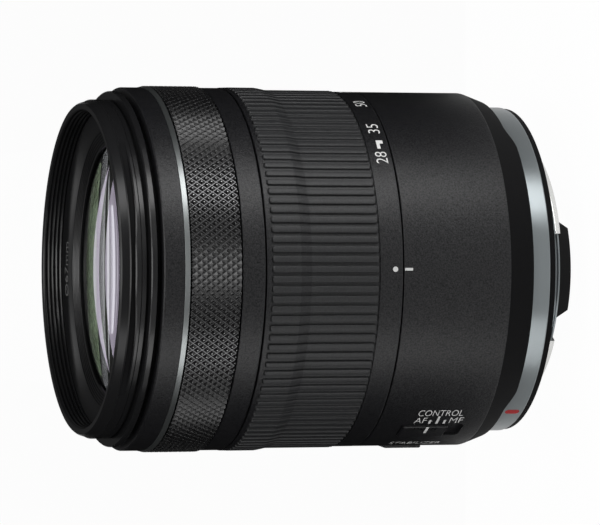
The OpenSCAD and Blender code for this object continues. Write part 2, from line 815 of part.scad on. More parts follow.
module mid_frame() {
  color("gray") difference() {
    union() {
      tube(bay_r, stab_lens_r + 2, mid_z, mid_z + mid_t);
      post_places(90) translate([0, 0, mid_z + mid_t / 2])
        cylinder(r = post_r, h = mid_t / 2 + slide_gap + shift_t);
    }
    rod_places() translate([0, 0, mid_z - over])
      cylinder(r = rod_r + slip_gap / 2, h = over + mid_t - cap_t);
    translate([-rod_pcr, 0, mid_z - over]) cylinder(r = yoke_r + slip_gap, h = over + mid_t - cap_t);
  }
}

module magnet_places() {
  for (a = [0, 90]) rotate([0, 0, a]) children();
}

module stabiliser_magnets() {
  color("silver") magnet_places()
    translate([magnet_r, -magnet_w / 2, mid_z + mid_t]) cube([magnet_len, magnet_w, magnet_t]);
}

module stabiliser_x_frame() {
  color("dimgray") difference() {
    union() {
      tube(shift_r, shift_in, shift_z, shift_z + shift_t);
      post_places(0) translate([0, 0, shift_z + shift_t / 2])
        cylinder(r = post_r, h = shift_t / 2 + slide_gap + lens_frame_t);
    }
    for (a = [90, 270]) rotate([0, 0, a]) translate([post_pcr, 0, 0]) rotate([0, 0, 90])
      shift_slot(shift_z - over, shift_t + 2 * over);
  }
}

module stabiliser_lens_frame() {
  top = lens_frame_z + lens_frame_t;
  color("#303032") difference() {
    union() {
      tube(lens_frame_r, stab_lens_r + slip_gap, lens_frame_z, top);
      magnet_places() translate([lens_frame_r - over, -coil_w / 2 - 0.5, lens_frame_z])
        cube([coil_end - lens_frame_r + over, coil_w + 1, lens_frame_t]);
    }
    for (a = [0, 180]) rotate([0, 0, a]) translate([post_pcr, 0, 0]) rotate([0, 0, 90])
      shift_slot(lens_frame_z - over, lens_frame_t + 2 * over);
  }
}

module stabiliser_element() {
  front_rc = 5 * stab_lens_r;
  back_rc = 7.5 * stab_lens_r;
  front = lens_frame_z + lens_frame_t / 2 + sag(front_rc, stab_lens_r);
  color("#9fb0aa") glass(stab_lens_r, front, front_rc, lens_frame_z - sag(back_rc, stab_lens_r), back_rc);
}

module stabiliser_coils() {
  x0 = coil_end - coil_len - run_gap;
  z0 = lens_frame_z - coil_t;
  color("peru") magnet_places() difference() {
    translate([x0, -coil_w / 2, z0]) cube([coil_len, coil_w, coil_t]);
    translate([x0 + coil_wall, -coil_w / 2 + coil_wall, z0 - over])
      cube([coil_len - 2 * coil_wall, coil_w - 2 * coil_wall, coil_t + 2 * over]);
  }
}

// Iris

module iris_base() {
  color("#242425") difference() {
    revolve([[iris_r, iris_z], [bay_r, iris_z], [bay_r, iris_top - fit_gap],
      [iris_ring_r + run_gap, iris_top - fit_gap], [iris_ring_r + run_gap, iris_ring_z - fit_gap],
      [ledge_r, iris_ring_z - fit_gap], [ledge_r, iris_z + iris_base_t], [iris_r, iris_z + iris_base_t]]);
    ring_of(blade_n) translate([pivot_r, 0, iris_z - over])
      cylinder(r = pivot_pin_r + slip_gap, h = iris_base_t + 2 * over);
    arc_tube(bay_r - actuator_wall, iris_ring_r + run_gap - over, iris_z + iris_base_t, iris_top + over,
      actuator_mid, actuator_half);
  }
}

module iris_actuator() {
  color("peru") arc_tube(bay_r - actuator_wall - fit_gap, iris_ring_r + 2 * run_gap, iris_z + iris_base_t,
    iris_top - run_gap, actuator_mid, actuator_half - 0.4);
}

// Place of the blade's drive pin in the ring when the iris has closed by the fraction f
function drive_point(f) =
  let (
    b = blade_turn * f - 90,
    p = [pivot_r + drive_arm * cos(b), drive_arm * sin(b)],
    t = -iris_turn * f
  )
  [p[0] * cos(t) - p[1] * sin(t), p[0] * sin(t) + p[1] * cos(t)];

// The same place moved sideways from the slot's middle line
function slot_side(f, side) =
  let (
    d = 0.01,
    a = drive_point(f - d),
    b = drive_point(f + d),
    n = [a[1] - b[1], b[0] - a[0]] / norm(b - a)
  )
  drive_point(f) + side * n;

module drive_slot() {
  polygon(concat(
    [for (i = [0 : path_steps]) slot_side(i / path_steps, drive_slot_w)],
    [for (i = [path_steps : -1 : 0]) slot_side(i / path_steps, -drive_slot_w)]));
  for (f = [0, 1]) translate(drive_point(f)) circle(r = drive_slot_w, $fn = 32);
}

module iris_ring() {
  color("#3a3a3c") difference() {
    tube(iris_ring_r, iris_ring_in, iris_ring_z, iris_ring_z + iris_ring_t);
    ring_of(blade_n) translate([0, 0, iris_ring_z - over])
      linear_extrude(height = iris_ring_t + 2 * over) drive_slot();
  }
}

// A blade with its pivot on the X axis, drawn flat
module blade_outline() {
  reach = 3 * pivot_r;
  intersection() {
    difference() {
      circle(r = iris_r + blade_w);
      circle(r = iris_r + 0.1);
    }
    polygon([[0, 0], [reach * cos(-6), reach * sin(-6)], [reach, reach * 0.6],
      [reach * cos(blade_span), reach * sin(blade_span)]]);
  }
  translate([pivot_r, 0]) circle(r = tab_r, $fn = 48);
  translate([pivot_r, -drive_arm]) circle(r = tab_r, $fn = 48);
  translate([iris_r + blade_w / 2, -tab_r]) square([pivot_r - iris_r - blade_w / 2, 2 * tab_r]);
  translate([pivot_r - tab_r, -drive_arm]) square([2 * tab_r, drive_arm]);
}

module iris_blade(k) {
  z = blade_z + (k - 1) * blade_pitch;
  color("#1e1e1f") rotate([0, 0, (k - 1) * 360 / blade_n]) {
    translate([0, 0, z]) linear_extrude(height = blade_t) blade_outline();
    translate([pivot_r, 0, iris_z + fit_gap]) cylinder(r = pivot_pin_r, h = z + blade_t - iris_z - fit_gap);
    translate([pivot_r, -drive_arm, z]) cylinder(r = drive_pin_r, h = iris_top - z);
  }
}

// Focus and rear groups

module focus_cell() {
  color("#242425") difference() {
    union() {
      tube(focus_cell_r, focus_lens_r + slip_gap, focus_z, focus_z + focus_h);
      for (a = [90, 180, 270]) rotate([0, 0, a])
        translate([focus_cell_r - over, -arm_w / 2, arm_z])
          cube([rod_pcr - focus_cell_r + over, arm_w, arm_h]);
      for (a = [90, 180, 270]) rotate([0, 0, a])
        translate([rod_pcr, 0, arm_z]) cylinder(r = arm_w / 2, h = arm_h);
    }
    rod_places() translate([0, 0, arm_z - over]) cylinder(r = rod_r + slip_gap, h = arm_h + 2 * over);
    translate([-rod_pcr, 0, arm_z - over]) cylinder(r = yoke_r + slip_gap, h = arm_h + 2 * over);
  }
}

module focus_element() {
  color("#9fb0aa") glass(focus_lens_r, focus_z + focus_h - 1.8, -80, focus_z + 2.2, -60);
}

// The moving coil of the focus motor, under the arm of the focus cell
module focus_coil() {
  color("peru") translate([-rod_pcr, 0, 0])
    tube(motor_coil_r, yoke_r + run_gap, arm_z - motor_coil_h, arm_z);
}

module focus_rods() {
  rod_z = deck_z - rod_seat;
  color("silver") rod_places() translate([0, 0, rod_z])
    cylinder(r = rod_r, h = mid_z + mid_t - cap_t - fit_gap - rod_z);
}

// Base, back plate and rod of the focus motor, which lead the magnet's field through the coil
module focus_yoke() {
  rod_top = mid_z + mid_t - cap_t - fit_gap;
  color("silver") {
    translate([-yoke_back, -yoke_w / 2, deck_z]) cube([yoke_back - rod_pcr + 2 * yoke_r, yoke_w, yoke_t]);
    translate([-yoke_back, -yoke_w / 2, deck_z]) cube([yoke_t, yoke_w, mid_z - fit_gap - deck_z]);
    translate([-rod_pcr, 0, deck_z]) cylinder(r = yoke_r, h = rod_top - deck_z);
  }
}

module focus_magnet() {
  z0 = deck_z + yoke_t;
  color("dimgray") translate([slip_gap / 2 + yoke_t - yoke_back, -yoke_w / 2, z0])
    cube([motor_magnet_t, yoke_w, mid_z - slide_gap - z0]);
}

module rear_cell() {
  top = deck_z + rear_flange_t;
  color("#242425") revolve([[rear_lens_r - 1, rear_cell_z], [rear_cell_r, rear_cell_z], [rear_cell_r, deck_z],
    [rear_flange_r, deck_z], [rear_flange_r, top], [rear_lens_r + slip_gap, top],
    [rear_lens_r + slip_gap, rear_seat_z], [rear_lens_r - 1, rear_seat_z]]);
}

module rear_element() {
  front_rc = 45;
  back_rc = 60;
  back = rear_seat_z + fit_gap - sag(back_rc, rear_lens_r - 1);
  color("#9fb0aa") glass(rear_lens_r, deck_z + 1.6, front_rc, back, back_rc);
}

// Switches

module switch_knob(angle, z0, len, travel) {
  knob_len = len - travel - 2 * switch_gap;
  knob_z = z0 + len - switch_gap - knob_len;
  knob_w = recess_w - 2 * switch_gap;
  floor_x = body_r - recess_d + 0.15;
  ridge_pitch = 0.8;
  ridge_n = floor(knob_len * 0.6 / ridge_pitch);
  rotate([0, 0, angle]) difference() {
    union() {
      intersection() {
        rounded_bar(floor_x, body_r + 2 * over, knob_w, knob_z, knob_len, corner_r - 0.1);
        cylinder(r = body_r + knob_rise, h = knob_z + knob_len + over);
      }
      translate([main_in, -stem_w / 2, knob_z + (knob_len - stem_len) / 2])
        cube([floor_x - main_in + 0.1, stem_w, stem_len]);
    }
    for (i = [0 : ridge_n - 1])
      translate([body_r + knob_rise - 0.2, -recess_w, knob_z + knob_len * 0.2 + i * ridge_pitch])
        cube([over, 2 * recess_w, 0.35]);
  }
}

module focus_mode_knob() {
  color("#303031") switch_knob(mode_angle, mode_z, mode_len, mode_travel);
}

module stabiliser_knob() {
  color("#303031") switch_knob(stab_angle, stab_z, stab_len, stab_switch_travel);
}

module switch_base(angle, z0, len) {
  rotate([0, 0, angle])
    translate([main_in - 0.2 - switch_base_t, -switch_base_w / 2, z0 + 1])
      cube([switch_base_t, switch_base_w, len - 2]);
}

module switch_bases() {
  color("#3c3c40") {
    switch_base(mode_angle, mode_z, mode_len);
    switch_base(stab_angle, stab_z, stab_len);
  }
}

mount_plate();
mount_screws();
mount_gasket();
rear_baffle();
contact_block();
contact_pins();
main_board();
rear_frame();
rear_barrel();
main_barrel();
guide_tube();
cam_barrel();
zoom_keys();
zoom_ring();
zoom_grip();
smooth_ring();
control_ring();
accent_ring();
front_ring();
inner_barrel();
filter_ring();
name_ring();
front_cell();
front_element();
second_element();
front_retainer();
front_followers();
variator_cell();
variator_front_element();
variator_rear_element();
variator_followers();
mid_frame();
stabiliser_magnets();
stabiliser_x_frame();
stabiliser_lens_frame();
stabiliser_element();
stabiliser_coils();
iris_base();
iris_ring();
iris_actuator();
iris_blade(1);  // iris_blade_1
iris_blade(2);  // iris_blade_2
iris_blade(3);  // iris_blade_3
iris_blade(4);  // iris_blade_4
iris_blade(5);  // iris_blade_5
iris_blade(6);  // iris_blade_6
iris_blade(7);  // iris_blade_7
iris_blade(8);  // iris_blade_8
iris_blade(9);  // iris_blade_9
focus_cell();
focus_element();
focus_coil();
focus_rods();
focus_yoke();
focus_magnet();
rear_cell();
rear_element();
focus_mode_knob();
stabiliser_knob();
switch_bases();
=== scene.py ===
import math

import bmesh
import bpy
from mathutils import Matrix, Vector


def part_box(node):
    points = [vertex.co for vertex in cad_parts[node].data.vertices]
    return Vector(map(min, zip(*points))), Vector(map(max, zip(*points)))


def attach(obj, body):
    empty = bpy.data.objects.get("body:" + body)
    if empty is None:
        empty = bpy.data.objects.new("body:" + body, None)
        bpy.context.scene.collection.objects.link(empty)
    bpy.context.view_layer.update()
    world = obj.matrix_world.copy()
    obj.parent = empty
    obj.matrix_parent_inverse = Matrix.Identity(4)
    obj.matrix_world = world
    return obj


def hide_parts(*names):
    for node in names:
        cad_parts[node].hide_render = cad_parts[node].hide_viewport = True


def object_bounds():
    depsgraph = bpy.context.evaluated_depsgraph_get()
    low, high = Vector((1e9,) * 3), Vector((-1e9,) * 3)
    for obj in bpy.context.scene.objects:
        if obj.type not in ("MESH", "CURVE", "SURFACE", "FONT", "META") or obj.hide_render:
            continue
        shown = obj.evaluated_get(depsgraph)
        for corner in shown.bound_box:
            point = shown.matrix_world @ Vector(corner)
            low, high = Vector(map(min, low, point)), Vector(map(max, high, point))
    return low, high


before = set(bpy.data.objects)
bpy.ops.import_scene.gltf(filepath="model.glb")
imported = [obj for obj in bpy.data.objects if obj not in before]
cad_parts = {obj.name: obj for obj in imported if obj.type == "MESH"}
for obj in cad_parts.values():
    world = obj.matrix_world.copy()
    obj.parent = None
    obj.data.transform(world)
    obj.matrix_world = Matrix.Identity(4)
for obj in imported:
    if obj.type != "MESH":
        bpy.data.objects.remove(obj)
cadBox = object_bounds()
print("frame loaded:", len(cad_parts), "nodes")

mm = 0.001
nearSide = -90.0  # angle of the index line, which faces the camera
frontLean = 0.84  # front edges lean 40 degrees, where they catch the light from the front
hair = 0.01  # tolerance in millimetres where places are compared


# Small helpers: colours, nodes and meshes

def linear(hexColour):
    channels = [int(hexColour[i:i + 2], 16) / 255 for i in (1, 3, 5)]
    return tuple(c / 12.92 if c <= 0.04045 else ((c + 0.055) / 1.055) ** 2.4 for c in channels) + (1.0,)


def addNode(tree, kind, settings=None, links=None):
    # a link starts at a socket, or at a node's first output
    node = tree.nodes.new("ShaderNode" + kind)
    for key, value in (settings or {}).items():
        if isinstance(key, int) or key in node.inputs.keys():
            node.inputs[key].default_value = value
        else:
            setattr(node, key, value)
    for key, source in (links or {}).items():
        tree.links.new(source.outputs[0] if isinstance(source, bpy.types.Node) else source, node.inputs[key])
    return node


def startMaterial(name):
    material = bpy.data.materials.new(name)
    material.use_nodes = True
    material.node_tree.nodes.clear()
    return material, material.node_tree


def endMaterial(material, shader):
    addNode(material.node_tree, "OutputMaterial", {}, {"Surface": shader})
    return material


def perMm(size):
    return 1 / (size * mm)  # texture scale for a pattern of this size in millimetres


def span(node):
    # a CAD node's ends along the axis and its radius, in millimetres
    low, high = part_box(node)
    return low[2] / mm, high[2] / mm, max(high[0], high[1]) / mm


def atAngle(r, angle, z):
    return r * math.cos(angle) * mm, r * math.sin(angle) * mm, z * mm


def angleFrom(angle, middle):
    return (angle - middle + 180) % 360 - 180


def smoothStep(low, high, value):
    t = min(max((value - low) / (high - low), 0), 1)
    return t * t * (3 - 2 * t)


def addObject(name, data):
    piece = bpy.data.objects.new(name, data)
    bpy.context.collection.objects.link(piece)
    return piece


def toMesh(name, shape):
    mesh = bpy.data.meshes.new(name)
    shape.to_mesh(mesh)
    shape.free()
    return mesh


def smoothShade(mesh, sharp):
    mesh.polygons.foreach_set("use_smooth", [True] * len(mesh.polygons))
    mesh.set_sharp_from_angle(angle=math.radians(sharp))


def rounded(outline, radius, steps=4):
    # rounds each corner of a closed outline, by radius or by the corner's own third number
    mostOfSide = 0.42  # share of a side that one round may take
    rowShare = 0.12  # a row of points this far beside each round keeps the flat faces flat
    points = []
    count = len(outline)
    for i, corner in enumerate(outline):
        own = corner[2] if len(corner) > 2 else radius
        here = Vector(corner[:2])
        before = Vector(outline[i - 1][:2]) - here
        after = Vector(outline[(i + 1) % count][:2]) - here
        if own <= 0:
            points.append(tuple(here))
            continue
        cut = min(own, mostOfSide * before.length, mostOfSide * after.length)
        start = here + before.normalized() * cut
        end = here + after.normalized() * cut
        points.append(tuple(start + before.normalized() * cut * rowShare))
        for k in range(steps + 1):
            t = k / steps
            points.append(tuple(start * (1 - t) ** 2 + here * 2 * t * (1 - t) + end * t * t))
        points.append(tuple(end + after.normalized() * cut * rowShare))
    return points


def meshPiece(name, vertices, faces, sharp=35):
    mesh = bpy.data.meshes.new(name)
    mesh.from_pydata(vertices, [], faces)
    shape = bmesh.new()
    shape.from_mesh(mesh)
    bmesh.ops.recalc_face_normals(shape, faces=shape.faces)
    shape.to_mesh(mesh)
    shape.free()
    smoothShade(mesh, sharp)
    return addObject(name, mesh)


def turned(name, outline, angles=288, relief=None, sharp=35):
    # turns a closed outline of (radius, height) round the axis; relief moves a point by its angle
    if isinstance(angles, int):
        angles = [360 * i / angles for i in range(angles)]
    vertices = []
    for angle in angles:
        for r, z in outline:
            if relief:
                r, z = relief(angle, r, z)
            vertices.append(atAngle(r, math.radians(angle), z))
    rows = len(outline)
    faces = []
    for i in range(len(angles)):
        a, b = i * rows, (i + 1) % len(angles) * rows
        for j in range(rows):
            k = (j + 1) % rows
            faces.append((a + j, b + j, b + k, a + k))
    return meshPiece(name, vertices, faces, sharp)


def sagAt(curve, r):
    return 0 if curve == 0 else math.copysign(abs(curve) - math.sqrt(curve * curve - r * r), curve)


def lensDisc(name, rim, front, frontCurve, back, backCurve, rings=28, columns=144):
    # a glass element: positive curves bulge outwards, negative ones are hollow
    radii = [rim * k / rings for k in range(1, rings + 1)]
    profile = [(r, front - sagAt(frontCurve, r)) for r in radii]
    profile += [(r, back + sagAt(backCurve, r)) for r in reversed(radii)]
    vertices = [(0, 0, front * mm)]
    for r, z in profile:
        vertices += [atAngle(r, 2 * math.pi * i / columns, z) for i in range(columns)]
    vertices.append((0, 0, back * mm))
    last = len(vertices) - 1
    foot = last - columns
    faces = []
    for i in range(columns):
        k = (i + 1) % columns
        faces.append((0, 1 + i, 1 + k))
        for row in range(len(profile) - 1):
            a, b = 1 + row * columns, 1 + (row + 1) * columns
            faces.append((a + i, b + i, b + k, a + k))
        faces.append((last, foot + k, foot + i))
    return meshPiece(name, vertices, faces, 30)


def carry(piece, body, material, slot=None, *nodes):
    piece.data.materials.clear()
    piece.data.materials.append(material)
    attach(piece, body)
    if nodes:
        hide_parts(*nodes)
    return piece


def setKinds(piece, kinds, *extra):
    # further materials for some faces of a piece
    for material in extra:
        piece.data.materials.append(material)
    piece.data.polygons.foreach_set("material_index", kinds)


def finishWhere(piece, material, test):
    # a second material for the faces that pass the test
    setKinds(piece, [1 if test(face) else 0 for face in piece.data.polygons], material)


def barCutter(name, angle, x0, x1, width, z0, length, corner):
    # a box with round corners, standing on the barrel at this angle
    shape = bmesh.new()
    bmesh.ops.create_cube(shape, size=1)
    bmesh.ops.scale(shape, vec=((x1 - x0) * mm, width * mm, length * mm), verts=shape.verts)
    middle = ((x0 + x1) / 2 * mm, 0, (z0 + length / 2) * mm)
    bmesh.ops.translate(shape, vec=middle, verts=shape.verts)
    if corner > 0:
        outward = [e for e in shape.edges if abs((e.verts[0].co - e.verts[1].co).normalized().x) > 0.9]
        bmesh.ops.bevel(shape, geom=outward, offset=corner * mm, segments=6, affect="EDGES", profile=0.5)
    turn = Matrix.Rotation(math.radians(angle), 3, "Z")
    bmesh.ops.rotate(shape, cent=(0, 0, 0), matrix=turn, verts=shape.verts)
    return addObject(name, toMesh(name, shape))


def cutAway(piece, cutters, sharp=35):
    for cutter in cutters:
        modifier = piece.modifiers.new("cut", "BOOLEAN")
        modifier.operation = "DIFFERENCE"
        modifier.solver = "EXACT"
        modifier.object = cutter
    graph = bpy.context.evaluated_depsgraph_get()
    graph.update()
    mesh = bpy.data.meshes.new_from_object(piece.evaluated_get(graph))
    piece.modifiers.clear()
    piece.data = mesh
    smoothShade(mesh, sharp)
    for cutter in cutters:
        bpy.data.objects.remove(cutter)


# Materials

def barrelPaint():
    # matte black paint sprayed on moulded polycarbonate: a fine grit that breaks up the highlights
    grit = 0.32  # under two pixels of the render, coarser than the real 0.1 mm grit so that it shows
    material, tree = startMaterial("matteBlackPaint")
    place = addNode(tree, "TexCoord").outputs["Object"]
    speck = addNode(tree, "TexNoise", {"Scale": perMm(grit), "Detail": 2.0, "Roughness": 0.6},
                    {"Vector": place})
    grain = addNode(tree, "MapRange", {"From Min": 0.2, "From Max": 0.8}, {"Value": speck})
    tone = addNode(tree, "ValToRGB", {}, {"Fac": grain})
    tone.color_ramp.elements[0].color = linear("#0b0b0d")
    tone.color_ramp.elements[1].color = linear("#1f1f21")
    gloss = addNode(tree, "MapRange", {"To Min": 0.34, "To Max": 0.5}, {"Value": grain})
    shine = addNode(tree, "MapRange", {"To Min": 0.18, "To Max": 0.6}, {"Value": grain})
    bump = addNode(tree, "Bump", {"Strength": 1.0, "Distance": 0.06 * mm}, {"Height": speck})
    shader = addNode(tree, "BsdfPrincipled", {"IOR": 1.5},
                     {"Base Color": tone, "Roughness": gloss, "Normal": bump, "Specular IOR Level": shine})
    return endMaterial(material, shader)


def gripRubber(name, shine):
    # moulded rubber: grey-black, almost no gloss, a faint mould texture
    texture = 0.4  # two pixels of the render, coarser than the real mould texture so that it shows
    material, tree = startMaterial(name)
    place = addNode(tree, "TexCoord").outputs["Object"]
    speck = addNode(tree, "TexNoise", {"Scale": perMm(texture), "Detail": 3.0}, {"Vector": place})
    tone = addNode(tree, "ValToRGB", {}, {"Fac": speck})
    tone.color_ramp.elements[0].position = 0.3
    tone.color_ramp.elements[0].color = linear("#18181a")
    tone.color_ramp.elements[1].position = 0.7
    tone.color_ramp.elements[1].color = linear("#262728")
    bump = addNode(tree, "Bump", {"Strength": 0.3, "Distance": 0.02 * mm}, {"Height": speck})
    shader = addNode(tree, "BsdfPrincipled", {"Roughness": 0.56, "IOR": 1.52, "Specular IOR Level": shine},
                     {"Base Color": tone, "Normal": bump})
    return endMaterial(material, shader)


def turnedMetal(name, colour, roughness, lineMm, metallic=1.0, specular=0.5, stretch=0.0):
    # finished on a lathe: fine rings round the axis, which draw the highlights out along it; the lines are
    # coarser than real tool marks so that they show
    wander = 60  # waves of a line in a metre, so few that it runs on round the ring
    material, tree = startMaterial(name)
    place = addNode(tree, "TexCoord").outputs["Object"]
    rings = addNode(tree, "Mapping", {"Scale": (wander, wander, perMm(lineMm))}, {"Vector": place})
    lines = addNode(tree, "TexNoise", {"Scale": 1.0, "Detail": 3.0}, {"Vector": rings})
    gloss = addNode(tree, "MapRange", {"To Min": roughness * 0.85, "To Max": roughness * 1.15},
                    {"Value": lines})
    bump = addNode(tree, "Bump", {"Strength": 0.12, "Distance": 0.01 * mm}, {"Height": lines})
    tangent = addNode(tree, "Tangent", {"direction_type": "RADIAL", "axis": "Z"})
    shader = addNode(tree, "BsdfPrincipled",
                     {"Base Color": linear(colour), "Metallic": metallic, "Specular IOR Level": specular,
                      "Anisotropic": stretch, "Anisotropic Rotation": 0.25},
                     {"Roughness": gloss, "Normal": bump, "Tangent": tangent})
    return endMaterial(material, shader)


def flatBlack(name, specular):
    # moulded black plastic with a dull surface: swallows light
    texture = 0.3  # coarser than the real mould texture so that it shows
    material, tree = startMaterial(name)
    place = addNode(tree, "TexCoord").outputs["Object"]
    speck = addNode(tree, "TexNoise", {"Scale": perMm(texture), "Detail": 2.0}, {"Vector": place})
    gloss = addNode(tree, "MapRange", {"To Min": 0.6, "To Max": 0.8}, {"Value": speck})
    bump = addNode(tree, "Bump", {"Strength": 0.2, "Distance": 0.02 * mm}, {"Height": speck})
    shader = addNode(tree, "BsdfPrincipled",
                     {"Base Color": linear("#121213"), "Specular IOR Level": specular},
                     {"Roughness": gloss, "Normal": bump})
    return endMaterial(material, shader)


def opticalGlass(name, tint, gloss):
    # polished optical glass: clear, with a coating that cuts the reflection
    material, tree = startMaterial(name)
    shader = addNode(tree, "BsdfPrincipled",
                     {"Base Color": linear(tint), "Transmission Weight": 1.0, "IOR": 1.6, "Roughness": 0.01,
                      "Specular IOR Level": gloss})
    return endMaterial(material, shader)


def paintMark(name, colour):
    # screen-printed ink: even and slightly satin
    blot = 0.5  # patches of more and less gloss, in millimetres
    material, tree = startMaterial(name)
    place = addNode(tree, "TexCoord").outputs["Object"]
    grain = addNode(tree, "TexNoise", {"Scale": perMm(blot), "Detail": 2.0}, {"Vector": place})
    gloss = addNode(tree, "MapRange", {"To Min": 0.4, "To Max": 0.6}, {"Value": grain})
    shader = addNode(tree, "BsdfPrincipled",
                     {"Base Color": linear(colour), "Specular IOR Level": 0.25}, {"Roughness": gloss})
    return endMaterial(material, shader)


paint = barrelPaint()
rubber = gripRubber("mouldedBlackRubber", 0.5)
shadedRubber = gripRubber("paintedShadeBlackRubber", 0.36)  # painted shade on the slope between the two diameters of the grip: a less shiny copy of the rubber
black = flatBlack("flatBlackPlastic", 0.3)
# a less shiny copy of the black plastic: painted shade on the skirt, in the filter ring's groove, slot and
# thread valleys and under the lip; matt rubber on the gasket
shadeAndMattBlack = flatBlack("mattBlackPlasticAndPaintedShade", 0.08)
knurlTop = turnedMetal("paintedHighlightTopAluminium", "#808080", 0.32, 0.2)  # tops in a lighter metal than the knurl: a painted highlight
# valleys in a lighter metal than the knurl: painted highlight lines
knurlValley = turnedMetal("paintedHighlightValleyAluminium", "#5e5e5f", 0.3, 0.2)
knurlBlack = turnedMetal("satinBlackAnodisedAluminium", "#060607", 0.27, 0.15, metallic=0.0, specular=0.55)
blackAnodised = turnedMetal("blackAnodisedAluminium", "#1a1a1b", 0.24, 0.15, metallic=0.0, specular=0.4)
# a duller copy of the black anodising: the name ring's own finish, and painted shade on the front of the
# filter ring
dullAnodisedAndShade = turnedMetal("dullBlackAnodisedAndPaintedShade", "#1a1a1b", 0.3, 0.15, metallic=0.0, specular=0.33)
# a glossier copy of the black anodising that lights up the name ring's light-trap grooves: a painted
# highlight
threadBlack = turnedMetal("paintedHighlightBlackAnodised", "#121213", 0.3, 0.15, metallic=0.0, specular=0.55)
mountSteel = turnedMetal("satinChromedBrass", "#8c9294", 0.34, 0.12, stretch=0.88)
accentSilver = turnedMetal("brushedSilverAluminium", "#949898", 0.42, 0.1, metallic=0.9, stretch=0.7)
polishedLug = turnedMetal("polishedSteel", "#e2e2e0", 0.22, 0.2)
goldPlate = turnedMetal("goldPlatedContact", "#c9a24a", 0.25, 0.2)
rollerBrass = turnedMetal("turnedBrass", "#a98a45", 0.3, 0.15)
coilCopper = turnedMetal("woundCopper", "#a5643a", 0.4, 0.12)
chassisAlloy = turnedMetal("blackChassisAlloy", "#2a2a2b", 0.45, 0.3, metallic=0.6)
boardGreen = turnedMetal("greenSolderMask", "#123f24", 0.4, 0.8, metallic=0.0)
bladeBlack = turnedMetal("blackenedSpringSteel", "#161616", 0.45, 0.4, metallic=0.3)
frontGlass = opticalGlass("coatedFrontGlass", "#c4d0c0", 0.5)
innerGlass = opticalGlass("coatedInnerGlass", "#dce8d9", 0.35)
whiteInk = paintMark("whitePrintInk", "#d9d9d8")
redInk = paintMark("redPrintInk", "#b3161d")
greyInk = paintMark("greyPrintInk", "#8a8a8a")
print("materials ready")

# Every CAD node gets its finish; the pieces below then replace those that show most
finishes = {
    paint: ["rear_barrel", "zoom_ring", "smooth_ring", "control_ring", "front_ring", "focus_mode_knob",
            "stabiliser_knob"],
    rubber: ["zoom_grip", "mount_gasket"],
    blackAnodised: ["inner_barrel", "filter_ring", "name_ring"],
    mountSteel: ["mount_plate"],
    accentSilver: ["accent_ring"],
    polishedLug: ["mount_screws", "zoom_keys", "focus_rods", "focus_yoke", "focus_magnet",
                  "stabiliser_magnets"],
    goldPlate: ["contact_pins"],
    rollerBrass: ["front_followers", "variator_followers"],
    coilCopper: ["stabiliser_coils", "focus_coil", "iris_actuator"],
    chassisAlloy: ["rear_frame", "guide_tube", "cam_barrel", "mid_frame", "main_barrel"],
    boardGreen: ["main_board"],
    bladeBlack: ["iris_blade_%d" % k for k in range(1, 10)] + ["iris_ring"],
    innerGlass: ["variator_rear_element", "stabiliser_element", "focus_element", "rear_element"],
    black: ["rear_baffle", "contact_block", "front_cell", "front_retainer", "variator_cell",
            "stabiliser_x_frame", "stabiliser_lens_frame", "iris_base", "focus_cell", "rear_cell",
            "switch_bases"],
}
for material, nodes in finishes.items():
    for node in nodes:
        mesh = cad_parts[node].data
        mesh.materials.clear()
        mesh.materials.append(material)


# Filter ring: outer band with the hood groove, thread inside

filterRing = {
    "edge": 0.25, "tipDrop": 0.66, "tipEdge": 0.35, "bore": 33.1, "undercut": 0.1,
    "mouth": [(0.55, 0), (0.2, 0.08)],  # out from the bore and down from the front
    "threadTop": 0.35, "threadDepth": 4.8, "threadRows": 90, "threadFoot": 0.05, "runIn": 0.25, "runOut": 0.3,
    "pitch": 0.86, "phase": 0.4, "crest": 0.2, "valley": 0.03,
    "crestStart": 0.3, "crestRise": 0.08, "crestEnd": 0.85, "crestFall": 0.35,  # shares of a turn
    "grooveTop": 2.15, "grooveBottom": 3.0, "grooveDepth": 0.6, "grooveDraft": 0.02,
    "grooveLip": [(0.1, 0), (0, 0.08), (0.2, 0.32)],  # in from the outside and up from the groove
    "grooveHalf": 47, "grooveFade": 12, "widenStart": 5, "widenEnd": 22,  # degrees from the groove's middle
    "grooveWiden": 0.45,
    "grooveRows": (9, 10, 11),  # the outline's rows that are the groove's walls and floor
    "line": 4.3, "lineHalf": 0.1, "lineDepth": 0.12, "slot": 0.5, "slotDepth": 0.7, "slotEdge": 0.08,
}


